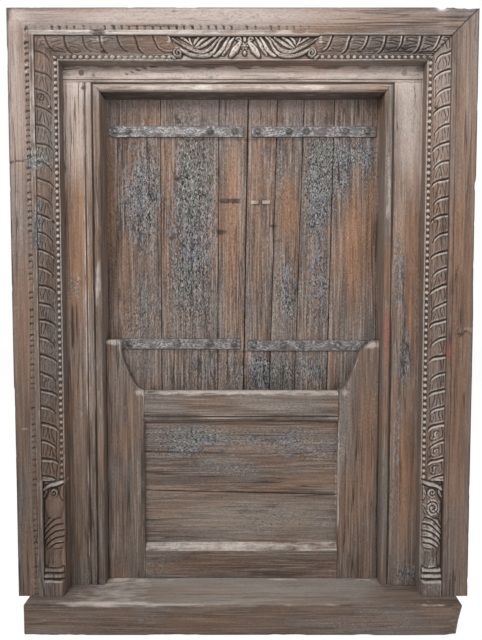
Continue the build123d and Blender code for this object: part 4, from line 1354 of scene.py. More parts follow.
        if side is Side.TOP:
            ragged = unit((s - 430) / 20) * unit(0.5 + noise.layers(s / 12, u / 9, 2))
            trim += edge * (8.0 * bell(s - self.top_loss, 7) + 4.0 * ragged)
            gone = bell(s - self.fillet_loss, 16, 4) * ((u > 47.4) & (u < 58.3) & face.astype(bool))
            sweep.out = sweep.out - 3.4 * gone * (0.6 + 0.4 * noise.at(s / 5, u / 3))
            sweep.wear = sweep.wear * (1 - gone)
            sweep.soil(0.7 * gone)
            sweep.veil = 1 - gone
        sweep.shave(trim)

    def build(self, side: Side) -> Sweep:
        """Shape one casing.

        Args:
            side: Which casing to make.

        Returns:
            Its carved and worn sweep.
        """
        seed, place = {
            Side.LEFT: (11, -self.half),
            Side.RIGHT: (12, self.half),
            Side.TOP: (13, self.top),
        }[side]
        us, outs = self.section()
        if side is Side.TOP:
            low, high = -self.half + us, self.half - us
        else:
            low, high = np.full_like(us, self.low), self.top - us
        count = int((high - low).max() / self.station)
        s = low + (high - low) * np.linspace(0, 1, count)[:, None]
        u, out = (np.repeat(row[None, :], count, 0) for row in (us, outs))
        noise = Noise(seed + 7)
        face = (out > self.front).astype(float)
        grain = 0.5 + 0.5 * noise.layers(u / 5.5, s / 70, 3)
        hollow = 0.5 + 0.5 * noise.layers(u / 26, s / 240, 2)
        carved = self.relief(side, u, s, out, seed) - face * (0.75 * grain + 1.0 * hollow)
        wear, dirt = self.handled(side, u, s, out, carved)
        run = Run.LEVEL if side is Side.TOP else Run.UPRIGHT
        sweep = Sweep(side.word + "_casing_carved", run, u, s, carved, wear, dirt, seed)
        sweep.sink(bell(np.abs(high - s), 1.8) * face * (0.2 if side is Side.LEFT else 1.0), 0.8)
        self.damage(side, sweep, out, noise)
        sweep.across = np.clip(sweep.across, 0, self.wide)
        sweep.across_sign = 1 if side is Side.LEFT else -1
        sweep.across_from = place
        return sweep

    def dress(self) -> None:
        """Make the three casings and dress their nails."""
        for side in Side:
            node = side.word + "_casing"
            self.build(side).make(CASING_WOOD, "frame", "casing_wood", [node], self.marks, 60.0)
        dress_node("casing_nails", RUSTED_IRON)


def dress_node(name: str, finish: Finish) -> None:
    """Give a carried-over node a finish of its own."""
    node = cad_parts[name]
    node.data.materials.clear()
    node.data.materials.append(finish.material())
    LOG.info("%s: finish %s", name, finish.name)


@dataclass
class FrameTimbers:
    """Sill, jambs and head, with beads, quirks and the pegs of their joints."""

    opening: float = 316.0
    opening_top: float = 1188.0
    outer: float = 424.0
    joint: float = 1206.5
    head_top: float = 1280.0
    deep: float = 88.0
    rebate: float = 332.0
    rebate_front: float = 61.0
    bead: float = 18.5
    sill_high: float = 71.0
    sill_half: float = 475.0
    sill_nose: float = 79.0
    sill_back: float = 90.0
    sill_slant: float = 12.0
    tenon: float = 44.0
    tenon_wide: Point = (340.0, 400.0)
    tenon_deep: Point = (24.0, 56.0)
    head_rebate: float = 1203.0
    head_line: float = 1212.5
    marks: Marks = Marks(
        bare=patches(
            (-372, 850, 26, 230, 0.85), (-372, 1120, 24, 60, 0.15), (376, 780, 24, 230, 0.8),
            (372, 330, 26, 170, 0.75), (326, 800, 9, 70, 1.0), (326, 620, 5, 140, 0.5),
        ),
        # The head and jamb-top patches make them lighter: painted light, with a pale dusty layer.
        tone=patches(
            (-380, 1090, 50, 140, 0.5), (380, 1090, 50, 150, 0.5), (0, 1216, 420, 34, 1.7),
            (-372, 850, 30, 200, 0.4), (-380, 250, 60, 260, -0.9),
        ),
        grimed=patches((-372, 680, 3, 60, 1.0), (-352, 1196, 5, 3, 1.0), (-330, 1222, 4, 4, 1.0)),
        rubbed=patches((-326, 760, 8, 60, 0.7), (0, 1195, 330, 8, 0.35), (326, 980, 8, 140, 0.35)),
        red=patches((326, 662, 9, 56, 1.0), (326, 560, 9, 120, 0.4), (372, 780, 14, 90, 0.4)),
        # Pale dusty layer on the head and jamb tops, which also stands for painted light.
        film=patches((0, 1216, 430, 60, 1.0), (-385, 1110, 60, 130, 0.75), (385, 1110, 60, 160, 0.7)),
        paint=patches(
            (366, 590, 14, 60, 0.9), (356, 720, 10, 110, 0.35), (350, 815, 15, 90, 0.55),
            (350, 420, 8, 140, 0.5), (402, 700, 12, 220, 0.4), (-372, 760, 18, 24, 0.4),
            (380, 100, 30, 26, 0.8), (-330, 84, 30, 14, 0.5),
        ),
        top_light=0.6,
    )
    sill_marks: Marks = Marks(
        rubbed=patches((-300, 72, 110, 4, 0.6), (460, 62, 10, 12, 0.3)),
        # Painted light: the sill top lighter, as it faces up to the lamp.
        tone=patches((0, 76, 460, 7, 1.7)),
        # Pale dusty layer on the sill top, which also stands for painted light.
        film=patches((0, 77, 480, 9, 0.95)),
        bare=patches((-200, 30, 160, 20, 0.35), (260, 34, 120, 18, 0.3)),
    )

    def bead_section(self) -> list[Point]:
        """Section of the bead strip from the opening edge outwards."""
        arc = [(9 - 9 * math.cos(t), -9 + 9 * math.sin(t)) for t in np.linspace(0, 2.46, 11)]
        return [*arc, (17.2, -3.2), (18.5, -1.2), (18.5, -self.rebate_front), (0.0, -self.rebate_front)]

    def bead_strip(self, name: str, ends: Point, run: Run, seed: int) -> Sweep:
        """Start a bead strip with mitred ends and a dark quirk.

        Args:
            name: Name of the piece.
            ends: First and last place along its opening edge.
            run: Which way it lies; an upright one is mitred at its top alone.
            seed: Seed of its wear.

        Returns:
            The strip, not yet weathered.
        """
        cuts = {"cut_high": lambda u: np.clip(u, 0, self.bead)}
        if run is Run.LEVEL:
            cuts["cut_low"] = lambda u: -np.clip(u, 0, self.bead)
        strip = stick(name, self.bead_section(), ends, run, seed, 0.6, 3.0, 5.0, -12.0, **cuts)
        strip.dirt += bell(strip.across - 17.0, 1.6) * (strip.out > -6)
        return strip

    def jamb(self, side: Side) -> None:
        """Make one jamb with its bead, rebate and tenons."""
        flip = side.value
        seed = 21 if side is Side.LEFT else 22
        name = side.word + "_jamb"
        flat = self.opening + self.bead
        outline: list[Point] = [(flat, -0.2)]
        if side is Side.LEFT:
            outline += [(347, 0.0), (349.2, -3.0), (351.6, 0.0)]
        outline += [(self.outer, 0.0), (self.outer, -self.deep), (self.rebate, -self.deep)]
        outline += [(self.rebate, -self.rebate_front), (flat, -self.rebate_front)]
        ends = (self.sill_high, self.joint)
        post = stick(name + "_post", outline, ends, Run.UPRIGHT, seed, 1.6, 5.0, 6.0, -20.0)
        if side is Side.LEFT:
            slit = bell(post.across - 383, 2.6, 4) * bell(post.along - 668, 55, 8) * (post.out > -2)
            post.sink(slit, 3.0)
        post.across_sign = flip
        post.weather(1.1, 1.6)
        inner, outer = sorted(flip * x for x in self.tenon_wide)
        front, back = self.tenon_deep
        post.add_block((inner, front, self.joint - 2), (outer, back, self.joint + self.tenon))
        post.add_block((inner, front, self.sill_high - self.tenon), (outer, back, self.sill_high + 2))
        post.make(FRAME_WOOD, "frame", "frame_wood", [name], self.marks)
        ends = (self.sill_high, self.opening_top)
        strip = self.bead_strip(name + "_bead", ends, Run.UPRIGHT, seed + 40)
        rubbed = 0.3 + 0.4 * Noise(seed).layers(strip.along / 70, strip.across / 9, 2)
        strip.wear += np.where(strip.out > -4, rubbed, 0)
        strip.veil = 0.4
        strip.across_from, strip.across_sign = flip * self.opening, flip
        strip.weather(0.8, 0.8)
        strip.make(FRAME_WOOD, "frame", "frame_wood", [], self.marks)

    def head(self) -> None:
        """Make the head with its incised line, bead and rebate."""
        line, back = self.head_line, self.head_rebate
        outline = [(self.joint, -0.2), (line - 2.5, 0.0), (line, -3.0), (line + 2.5, 0.0)]
        outline += [(self.head_top, 0.0), (self.head_top, -self.deep), (back, -self.deep)]
        outline += [(back, -self.rebate_front), (self.joint, -self.rebate_front)]
        beam = stick("head_beam", outline, (-self.outer, self.outer), Run.LEVEL, 24, 1.6, 4.0, 6.0, -20.0)
        beam.weather(1.2, 1.5)
        crack = np.interp(beam.along, (-265, -215, -160), (1222, 1236, 1250))
        front = beam.out > -5
        near = bell(beam.across - crack, 1.3) * (beam.along > -268) * (beam.along < -158) * front
        drip = 1237 + 9 * Noise(29).layers(beam.along / 34, beam.along * 0, 3)
        # Above a wavering line the head is darker and without its pale layer: partly a real drip mark, partly
        # painted shadow under the casing.
        stain_and_shade = unit((beam.across - drip) / 3) * front
        beam.veil = 1 - 0.95 * stain_and_shade
        beam.dirt = unit(beam.dirt + near + 0.35 * stain_and_shade)
        beam.out = beam.out - 2.5 * near
        beam.make(FRAME_WOOD, "frame", "frame_wood", ["head"], self.marks)
        strip = self.bead_strip("head_bead", (-self.opening, self.opening), Run.LEVEL, 25)
        strip.wear += np.where(strip.out > -4, 0.35, 0)
        strip.veil = 0.5
        # Painted shade on the soffit of the head bead.
        strip.soil(0.75 * (strip.out < -10) * (strip.across < 2))
        strip.across_from = self.opening_top
        strip.weather(0.8, 0.8)
        strip.make(FRAME_WOOD, "frame", "frame_wood", [], self.marks)

    def sill(self) -> None:
        """Make the thick worn sill."""
        outline = oblong(0.0, self.sill_high, self.sill_nose, -self.sill_back)
        ends = (-self.sill_half, self.sill_half)
        cuts = {"cut_high": lambda u: -self.sill_slant * (1 - u / self.sill_high)}
        slab = stick("sill_slab", outline, ends, Run.LEVEL, 26, 4.5, end_ease=2.0, **cuts)
        slab.weather(1.3, 2.4)
        noise = Noise(33)
        chip = unit((slab.along - 440) / 25) * unit((slab.out - 50) / 25)
        slab.shave(4.0 * (chip * unit(0.6 + noise.layers(slab.along / 14, slab.across / 16, 2))))
        lip = unit((slab.out - 66) / 6) * unit((slab.across - 62) / 5)
        slab.wear = unit(0.45 * slab.wear + lip * (0.05 + 0.6 * bell(slab.along + 300, 130)))
        broken = unit(0.4 + 1.6 * noise.layers(slab.along / 24, slab.out / 9, 2))
        slab.polish(0.8 * (bell(slab.out + 27, 5) * (slab.across > 64) * broken))
        slab.make(SILL_WOOD, "frame", "sill_wood", ["sill"], self.sill_marks)

    def dress(self) -> None:
        """Make all timbers and dress the pegs."""
        self.jamb(Side.LEFT)
        self.jamb(Side.RIGHT)
        self.head()
        self.sill()
        dress_node("joint_pegs", PEG_WOOD)


@dataclass
class GuardPanel:
    """Fixed lower panel: shaped stiles, rails and two boards."""

    front: float = 31.0
    back: float = 53.0
    board_front: float = 43.0
    opening: float = 316.0
    low: float = 71.0
    ear_top: float = 635.0
    left_inner: float = -229.0
    right_inner: float = 222.0
    rail_low: float = 445.0
    rail_high: float = 516.0
    rail_line: float = 455.5
    rail_round: float = 13.0
    rebate: float = 10.0
    bevel_low: float = 138.0
    bevel_high: float = 155.0
    hollow_low: float = 518.0
    hollow_high: float = 606.0
    left_ear: float = -282.0
    left_slope_from: float = 629.0
    right_ear: float = 270.0
    right_slope: float = 36.0
    board_ends: Point = (-239.0, 232.0)
    board_joint: Point = (278.0, 267.0)
    marks: Marks = Marks(
        bare=patches(
            (285, 400, 30, 200, 0.65), (-280, 260, 24, 120, 0.3), (-60, 285, 150, 26, 0.4),
            (-60, 105, 150, 26, 0.5),
        ),
        paint=patches(
            (-130, 398, 90, 34, 0.85), (-150, 372, 60, 12, 0.6), (90, 392, 130, 38, 0.65),
            (170, 360, 60, 16, 0.5), (60, 210, 120, 40, 0.35), (-30, 330, 200, 16, 0.35),
        ),
        film=patches((10, 212, 220, 54, 0.75), (0, 480, 220, 26, 0.35), (20, 390, 220, 40, 0.4)),
        # Lighter or darker patches: random variation, and painted light on the bevel, a face turned up to the
        # lamp.
        tone=patches(
            (0, 490, 215, 30, 0.3), (0, 146, 215, 8, 0.6), (0, 215, 215, 50, 0.2), (0, 105, 260, 26, -0.35),
            (-275, 330, 40, 240, -0.35),
        ),
        grimed=patches((0, 448, 225, 4, 0.6), (-235, 300, 4, 150, 0.8)),
        # Pale patches: worn chips, and a thin painted highlight on the right stile's inner edge.
        rubbed=patches(
            (0, 514, 220, 5, 0.3), (-80, 147, 150, 7, 0.3), (-300, 630, 24, 8, 1.0), (-284, 610, 6, 20, 0.7),
            (292, 624, 34, 10, 0.9), (222, 300, 3, 150, 0.8), (-240, 512, 14, 10, 0.7),
            (236, 512, 14, 10, 0.6),
        ),
        top_light=0.35,
    )

    def hollow(self, z: Array, low: float, high: float, bow: float) -> Array:
        """Hollow edge of an ear between two places across, at each height."""
        t = unit((z - self.hollow_low) / (self.hollow_high - self.hollow_low))
        return low + (high - low) * t**bow

    def left_edge(self, z: Array) -> Array:
        """Inner edge of the left stile at each height."""
        slope = self.left_ear - (z - self.left_slope_from)
        hollow = self.hollow(z, self.left_inner, self.left_ear, 0.55)
        return np.where(z > self.left_slope_from, slope, hollow)

    def right_edge(self, z: Array) -> Array:
        """Inner edge of the right stile at each height."""
        rise = (z - self.hollow_high) / (self.ear_top - self.hollow_high)
        hollow = self.hollow(z, self.right_inner, self.right_ear, 0.58)
        return np.where(z > self.hollow_high, self.right_ear + rise * self.right_slope, hollow)

    def joint(self, x: Array) -> Array:
        """Height of the joint between the boards, which runs slightly downhill."""
        start, end = self.board_joint
        left, right = self.board_ends
        return start + (end - start) * (x - left) / (right - left)

    def stile(self, side: Side) -> None:
        """Make one stile with its shaped ear."""
        name = f"guard_{side.word}_stile"
        if side is Side.LEFT:
            seed, wide = 41, self.opening + self.left_inner
            edges = {"left": lambda z: np.full_like(z, -self.opening), "right": self.left_edge}
        else:
            seed, wide = 42, self.opening - self.right_inner
            edges = {"left": self.right_edge, "right": lambda z: np.full_like(z, self.opening)}
        outline = oblong(0.0, wide, -self.front, -self.back)
        ends, sizes = (self.low, self.ear_top), (2.2, 4.0, 3.0, -50.0)
        post = stick(name + "_board", outline, ends, Run.UPRIGHT, seed, *sizes, **edges)
        if side is Side.RIGHT:
            groove = bell(post.across - 238.5, 1.6) * (post.along > 155) * (post.along < 445)
            post.sink(groove * (post.out > -33), 2.6)
        post.weather(1.0, 1.8)
        post.face = (post.out > -self.front - 12).astype(float)
        post.make(GUARD_WOOD, "frame", "guard_wood", [name], self.marks)

    def rail(
        self, node: str, outline: Sequence[Point], seed: int, ease: float, chip: float, tenon: Point
    ) -> None:
        """Make one rail with a tenon at either end.

        Args:
            node: Node that it stands for.
            outline: Section corners as across and out.
            seed: Seed of its wear.
            ease: Rounding of outer corners.
            chip: Depth of the breaks along outer corners.
            tenon: Lowest and highest place of the tenons.
        """
        ends = (self.left_inner, self.right_inner)
        bar = stick(node + "_worn", outline, ends, Run.LEVEL, seed, ease, 3.0, 5.0, -50.0)
        # The rail top and the bevel are paler: partly worn, partly painted light on faces turned up to the
        # lamp.
        ridge = 0.6 * unit((bar.across - 500) / 10) * (bar.out > -46)
        bevel = 0.5 * (bar.across > 137) * (bar.across < 200) * (bar.out > -44)
        bar.weather(1.0, chip)
        bar.polish(ridge + bevel)
        for x0, x1 in ((ends[0] - 40, ends[0] + 2), (ends[1] - 2, ends[1] + 40)):
            bar.add_block((x0, 34.5, tenon[0]), (x1, 41.5, tenon[1]))
        bar.make(GUARD_WOOD, "frame", "guard_wood", [node], self.marks)

    def rails(self) -> None:
        """Make the rounded top rail and the bevelled bottom rail."""
        front, board, back = -self.front, -self.board_front, -self.back
        turns = np.linspace(0, math.pi / 2, 8)
        line, r = self.rail_line, self.rail_round
        arc = [(self.rail_high - r + r * math.sin(t), front - r + r * math.cos(t)) for t in turns]
        lip = self.rail_low + self.rebate
        outline = [(self.rail_low, front), (line - 2.5, front), (line, front - 3.0), (line + 2.5, front)]
        outline += [*arc, (self.rail_high, back), (lip, back), (lip, board), (self.rail_low, board)]
        self.rail("guard_top_rail", outline, 43, 1.4, 1.6, (456, 500))
        lip = self.bevel_high - self.rebate
        outline = [(self.low, front), (self.bevel_low, front), (self.bevel_high, board)]
        outline += [(lip, board), (lip, back), (self.low, back)]
        self.rail("guard_bottom_rail", outline, 44, 1.2, 1.5, (86, 132))

    def boards(self) -> None:
        """Make the two boards behind the rails."""
        outline = oblong(0.0, 150.0, -self.board_front, -self.back)
        sizes = (1.8, 4.0, 6.0, -50.0)
        low, high = self.bevel_high - self.rebate, self.rail_low + self.rebate
        for name, seed, left, right in (
            ("guard_upper_board", 45, lambda x: self.joint(x) + 0.4, lambda x: np.full_like(x, high)),
            ("guard_lower_board", 46, lambda x: np.full_like(x, low), lambda x: self.joint(x) - 0.4),
        ):
            edges = {"left": left, "right": right}
            board = stick(name + "_face", outline, self.board_ends, Run.LEVEL, seed, *sizes, **edges)
            board.weather(1.1, 1.2)
            board.face = (board.out > -self.board_front - 4).astype(float)
            board.make(GUARD_WOOD, "frame", "guard_wood", [name], self.marks)

    def dress(self) -> None:
        """Make the whole guard."""
        self.stile(Side.LEFT)
        self.stile(Side.RIGHT)
        self.rails()
        self.boards()


@dataclass
class Nails:
    """Forged nails with uneven domed heads, clenched along the grain at the back."""

    name: str
    body: str
    node: str
    radius: float = 6.2
    rise: float = 3.2
    side: float = 4.4
    back: float = 86.0
    clench: float = 14.0
    point_thick: float = 2.6
    sides: int = 16
    rings: tuple[Point, ...] = ((1.0, 0.0), (1.0, 0.28), (0.84, 0.66), (0.52, 0.92), (0.2, 1.0))
    spots: list[Triple] = field(default_factory=list)

    def build(self) -> bpy.types.Mesh:
        """Shape every nail of the group into one mesh."""
        points: list[Triple] = []
        faces: list[list[int]] = []
        luck = np.random.default_rng(len(self.spots) * 7 + len(self.name))
        sides, rings = self.sides, self.rings
        for x, seat, z in self.spots:
            base = len(points)
            lumps = luck.uniform(0.86, 1.0, sides)
            lumps = (lumps + np.roll(lumps, 1) + np.roll(lumps, -1)) / 3
            tilt = luck.uniform(-0.12, 0.12, 2)
            for share, up in rings:
                for n in range(sides):
                    turn = 2 * math.pi * n / sides
                    r = self.radius * share * lumps[n]
                    lean = 1 + tilt[0] * math.cos(turn) + tilt[1] * math.sin(turn)
                    y = seat - self.rise * up * min(lean, 1.0)
                    points.append((x + r * math.cos(turn), y, z + r * math.sin(turn)))
            points.append((x, seat - self.rise * 0.97, z))
            faces += ring_faces(base, len(rings), sides)
            crown = base + len(rings) * sides
            last = crown - sides
            faces += [[last + n, last + (n + 1) % sides, crown] for n in range(sides)]
            faces.append([base + n for n in reversed(range(sides))])
            half = self.side / 2
            end = self.back + self.point_thick
            self.block(points, faces, (x - half, seat, z - half), (x + half, end, z + half))
            self.block(points, faces, (x - half, self.back, z - self.clench), (x + half, end, z - half + 0.2))
        mesh = bpy.data.meshes.new(self.name)
        mesh.from_pydata([(px * MM, py * MM, pz * MM) for px, py, pz in points], [], faces)
        return mesh

    @staticmethod
    def block(points: list[Triple], faces: list[list[int]], low: Triple, high: Triple) -> None:
        """Join a shank or a clenched point, given by two corners."""
        base = len(points)
        points += product(*zip(low, high))
        faces += [[base + corner for corner in quad] for quad in BLOCK_FACES]

    def dress(self) -> None:
        """Make the nails and hang them on their leaf."""
        show(self.build(), NAIL_IRON, self.body, [self.node], 50.0)


@dataclass
class PlankLeaf:
    """Leaf of upright planks on wooden pivots, with iron straps, nails and a staple."""

    side: Side
    low: float = 74.0
    high: float = 1201.0
    front: float = 62.0
    back: float = 86.0
    pivot_x: float = 319.0
    pivot_y: float = 74.0
    pivot_radius: float = 10.0
    strap_high: float = 28.0
    strap_front: float = 59.0
    strap_thick: float = 3.0
    edge_round: float = 12.0
    lone_nail: Point = (-150.0, 1141.0)
    marks: Marks = Marks(
        bare=patches(
            (-26, 880, 20, 240, 0.75), (-306, 900, 16, 220, 0.55), (108, 930, 26, 90, 0.85),
            (262, 850, 34, 160, 0.85), (300, 950, 14, 220, 0.55), (36, 860, 24, 180, 0.5),
            (-178, 900, 12, 260, 0.45), (-270, 760, 26, 120, 0.4),
        ),
        paint=patches(
            (-118, 930, 58, 180, 1.0), (-236, 965, 42, 125, 1.0), (178, 1010, 34, 110, 1.0),
            (176, 880, 28, 160, 0.55), (256, 1070, 62, 34, 1.0), (232, 1010, 22, 56, 0.8),
            (290, 1030, 14, 40, 0.6), (70, 1050, 30, 60, 0.45), (108, 757, 26, 80, 0.85),
            (46, 548, 30, 50, 1.1), (140, 556, 70, 40, 0.7), (-122, 730, 56, 90, 0.5),
            (176, 730, 30, 100, 0.55), (-230, 700, 40, 90, 0.4), (-60, 560, 120, 40, 0.5),
        ),
        film=patches((0, 1182, 330, 36, 0.9), (0, 1128, 330, 8, 0.7)),
        # Lighter or darker patches: random variation, and painted light on the plank tops in the head's
        # shade.
        tone=patches(
            (0, 1178, 330, 26, 1.1), (-310, 900, 26, 320, -0.6), (-250, 900, 60, 330, -0.35),
            (-122, 850, 60, 330, -0.2), (178, 900, 34, 260, -0.45), (0, 1090, 320, 16, -0.15),
            (0, 545, 330, 40, -0.4), (60, 532, 60, 26, -0.7), (262, 850, 34, 160, 0.45),
            (-26, 860, 26, 240, 0.45),
        ),
        # Dark patches: the two long thin bands are painted shadows under the straps, the others small dark
        # marks.
        grimed=patches(
            (0, 1100, 320, 3, 0.6), (0, 604, 260, 3, 0.5), (-32, 958, 26, 5, 0.8), (42, 954, 27, 8, 0.7),
            (-50, 885, 20, 5, 0.9), (72, 899, 14, 5, 0.8), (84, 866, 16, 4, 0.7), (-154, 1150, 6, 6, 0.8),
            (-150, 1010, 9, 5, 0.9),
        ),
        top_light=0.25,
    )
    planks: dict[str, tuple[Point | None, Point | None]] = field(default_factory=dict)
    nail_shares: dict[str, tuple[float, ...]] = field(default_factory=dict)

    @property
    def body(self) -> str:
        """Body that the leaf is."""
        return self.side.word + "_leaf"

    def edge(self, ends: Point, s: Array) -> Array:
        """Place of a slanting edge at each height, from its upper and its lower end."""
        return ends[1] + (ends[0] - ends[1]) * (s - self.low) / (self.high - self.low)

    def plank(self, node: str, left: Point | None, right: Point | None, seed: int) -> None:
        """Make one plank between two slanting edges, given under the head and on the sill.

        Args:
            node: Node that it stands for.
            left: Left edge, or none at a hanging edge.
            right: Right edge, or none at a hanging edge.
            seed: Seed of its wear.
        """
        hang = self.pivot_x * self.side.value
        near, far = left or (hang, hang), right or (hang, hang)
        wide = abs(far[0] - near[0])
        free = right if self.side is Side.LEFT else left
        lips = [1.07 if "meeting" in node and edge is free else 0.39 for edge in (left, right)]
        deep, r = self.back - self.front, self.edge_round
        body: list[Point] = [(0.0, deep), (wide, deep)]
        turns = np.linspace(0.3, math.pi - 0.3, 9)
        if right is None:
            body += [(wide + r * math.sin(t), r + r * math.cos(t)) for t in turns]
        else:
            body += [(wide, 16.0), (wide + lips[1], 15.0), (wide + lips[1], 9.0), (wide, 8.0)]
        body += [(wide, 0.0), (0.0, 0.0)]
        if left is None:
            body += [(-r * math.sin(t), r - r * math.cos(t)) for t in turns]
        else:
            body += [(0.0, 8.0), (-lips[0], 9.0), (-lips[0], 15.0), (0.0, 16.0)]
        outline = [(u, d - self.back) for u, d in body]
        ring_low = min(u for u, _ in outline)
        ring_high = max(u for u, _ in outline)
        edges = {
            "left": lambda s: self.edge(near, s) + ring_low,
            "right": lambda s: self.edge(far, s) + ring_high - wide,
        }
        ends, sizes = (self.low, self.high), (1.7, 4.0, 6.0, -self.back + 1)
        board = stick(node + "_board", outline, ends, Run.UPRIGHT, seed, *sizes, **edges)
        board.face = (board.out > -self.front - 8).astype(float)
        board.wear = board.wear * (board.out > -self.front - 5)
        board.weather(0.9, 1.0, 0.0)
        # Painted shade: the side faces in the gaps between planks are fully dark, the front edges partly
        # darker.
        walls = np.abs(board.normals()[0]) > 0.8
        board.dirt = unit(0.5 * board.wear * (board.out > -self.front - 4) + walls)
        board.wear = board.wear * 0.35
        if left is None or right is None:
            for z0, z1 in ((self.high - 2, self.high + 22.0), (self.low - 20.7, self.low + 2)):
                board.add_rod(hang, self.pivot_y, self.pivot_radius, z0, z1)
        board.make(LEAF_WOOD, self.body, "leaf_wood", [node], self.marks)

    def strap(self, level: str, seed: int) -> list[Triple]:
        """Make one iron strap.

        Args:
            level: Which strap of the leaf.
            seed: Seed of its unevenness.

        Returns:
            Places of its nails as x, seat and z.
        """
        node = f"{self.side.word}_{level}_strap"
        low, high = (np.array(corner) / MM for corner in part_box(node))
        x0, x1, z = float(low[0]), float(high[0]), float(low[2] + high[2]) / 2
        half = self.strap_high / 2
        outline = oblong(-half, half, self.strap_thick - self.front, -self.front)
        noise = Noise(seed)
        rounded = node == "left_upper_strap"

        def narrow(s: Array) -> Array:
            """Half height of the strap along its length."""
            wave = half - 0.5 - 0.45 * noise.layers(s / 34, s * 0 + 2, 2) - 0.4
            tip = np.sqrt(np.clip(1 - unit((x0 + 13 - s) / 13.2) ** 2, 0.02, 1)) if rounded else 1.0
            return wave * tip

        face = -self.front + 0.5
        edges = {"left": lambda s: -narrow(s), "right": narrow}
        sizes = (1.0, 3.0, 2.5 if rounded else 4.0, face)
        bar = stick(node + "_bar", outline, (x0, x1), Run.LEVEL, seed, *sizes, **edges, end_ease=0.8)
        hammered = 0.5 + 0.5 * noise.layers(bar.along / 16, bar.across / 11, 3)
        bar.shave(0.5 * hammered * (bar.out > face))
        spots = [(x0 + (x1 - x0) * share, self.strap_front + 0.3, z) for share in self.nail_shares[level]]
        # Painted shadow: dark lines along the strap's edges and ends.
        bar.dirt = 0.95 * bar.wear
        for x, _, _ in spots:
            gap = np.hypot(bar.along - x, bar.across)
            bar.dirt = np.maximum(bar.dirt, 0.9 * bell(gap - 7.6, 2.0))
        bar.across_from = z
        bar.make(IRON, self.body, "forged_iron", [node], Marks())
        return spots

    def dress(self) -> None:
        """Make planks, straps and nails, and dress the staple."""
        later = 10 if self.side is Side.RIGHT else 0
        for seed, (node, (left, right)) in enumerate(self.planks.items(), 50 + later):
            self.plank(node, left, right, seed)
        spots: list[Triple] = []
        for seed, level in enumerate(self.nail_shares, 70 + later):
            spots += self.strap(level, seed)
        if self.side is Side.LEFT:
            spots.append((self.lone_nail[0], self.front + 0.6, self.lone_nail[1]))
        Nails(self.body + "_rose_nails", self.body, self.body + "_nails", spots=spots).dress()
        dress_node(self.side.word + "_staple", STAPLE_DARK if self.side is Side.LEFT else STAPLE_IRON)


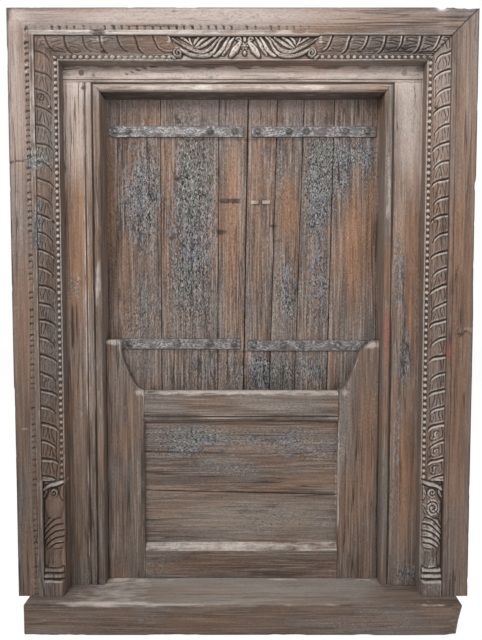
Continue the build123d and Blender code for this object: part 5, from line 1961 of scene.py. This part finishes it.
@dataclass
class Studio:
    """Pale floor, white surround, soft lamps and the camera."""

    lens: float = 31.17
    eye: Triple = (-0.004, -1.2434, 0.7447)
    pitch: float = 2.87
    key: float = 52.0
    fill: float = 13.0
    behind: float = 34.0

    def floor(self) -> None:
        """Lay a pale floor that keeps the shadow of the window."""
        mesh = bpy.data.meshes.new("studio_floor")
        mesh.from_pydata([(-6, -6, 0), (6, -6, 0), (6, 6, 0), (-6, 6, 0)], [], [(0, 1, 2, 3)])
        material = bpy.data.materials.new("floor_pale")
        material.use_nodes = True
        material.node_tree.nodes.clear()
        w = Wiring(material.node_tree)
        matt = w.add("ShaderNodeBsdfDiffuse", {"Color": (0.82, 0.81, 0.8, 1.0)})
        glow = w.add("ShaderNodeEmission", {"Color": (1.0, 1.0, 1.0, 1.0), "Strength": 1.14})
        inputs = {0: w.times(w.seen(), 0.8), 1: matt.outputs[0], 2: glow.outputs[0]}
        mix = w.add("ShaderNodeMixShader", inputs)
        w.add("ShaderNodeOutputMaterial", {"Surface": mix.outputs[0]})
        mesh.materials.append(material)
        floor = bpy.data.objects.new("studio_floor", mesh)
        bpy.context.collection.objects.link(floor)

    def surround(self) -> None:
        """Set a white surround with a plain level of light."""
        world = bpy.data.worlds.new("studio_surround")
        world.use_nodes = True
        world.node_tree.nodes.clear()
        w = Wiring(world.node_tree)
        level = w.plus(w.times(w.seen(), 0.62), 0.38)
        back = w.add("ShaderNodeBackground", {"Color": (1.0, 1.0, 1.0, 1.0), "Strength": level})
        w.add("ShaderNodeOutputWorld", {"Surface": back.outputs[0]})
        bpy.context.scene.world = world

    def lamp(self, name: str, place: Triple, aim: Triple, power: float, size: float) -> None:
        """Hang a square soft lamp that faces a point."""
        light = bpy.data.lights.new(name, "AREA")
        light.energy = power
        light.size = size
        lamp = bpy.data.objects.new(name, light)
        lamp.location = place
        lamp.rotation_euler = (Vector(aim) - Vector(place)).to_track_quat("-Z", "Y").to_euler()
        bpy.context.collection.objects.link(lamp)

    def camera(self) -> None:
        """Stand the camera where the photograph was taken from."""
        data = bpy.data.cameras.new("studio_camera")
        data.sensor_width = 36.0
        data.sensor_fit = "AUTO"
        data.lens = self.lens
        camera = bpy.data.objects.new("studio_camera", data)
        camera.location = self.eye
        camera.rotation_euler = Euler((math.radians(90 - self.pitch), 0.0, 0.0))
        bpy.context.collection.objects.link(camera)
        bpy.context.scene.camera = camera

    def dress(self) -> None:
        """Set up floor, surround, lamps and camera."""
        self.camera()
        self.floor()
        self.surround()
        self.lamp("key_lamp", (-0.9, -2.1, 2.3), (0.0, 0.0, 0.95), self.key, 1.2)
        self.lamp("fill_lamp", (1.5, -2.2, 1.2), (0.0, 0.0, 0.6), self.fill, 1.6)
        self.lamp("back_lamp", (0.5, 2.4, 2.3), (0.0, 0.0, 0.7), self.behind, 2.2)
        bpy.context.scene.view_settings.view_transform = "Standard"


def main() -> None:
    """Build and dress the window piece by piece."""
    logging.basicConfig(level=logging.INFO, format="%(name)s %(message)s")
    Studio().dress()
    CarvedCasing().dress()
    FrameTimbers().dress()
    GuardPanel().dress()
    left_planks = {
        "left_hanging_plank": (None, (-191.1, -192.2)),
        "left_middle_plank": ((-190.3, -191.4), (-55.2, -63.0)),
        "left_meeting_plank": ((-54.4, -62.2), (12.2, -7.2)),
    }
    left_nails = {
        "upper": (0.045, 0.146, 0.75, 0.935),
        "middle": (0.14, 0.515, 0.765, 0.955),
        "lower": (0.14, 0.515, 0.74, 0.93),
    }
    PlankLeaf(Side.LEFT, planks=left_planks, nail_shares=left_nails).dress()
    right_planks = {
        "right_meeting_plank": ((14.4, -5.0), (80.8, 51.9)),
        "right_second_plank": ((81.6, 52.7), (142.3, 109.2)),
        "right_third_plank": ((143.1, 110.0), (213.1, 189.3)),
        "right_hanging_plank": ((213.9, 190.1), None),
    }
    right_nails = {
        "upper": (0.05, 0.3, 0.438, 0.755, 0.928),
        "middle": (0.05, 0.28, 0.428, 0.715, 0.93),
        "lower": (0.065, 0.262, 0.45, 0.735, 0.93),
    }
    PlankLeaf(Side.RIGHT, planks=right_planks, nail_shares=right_nails).dress()
    bpy.context.view_layer.update()
    LOG.info("window complete")


if __name__ == "__main__":
    main()
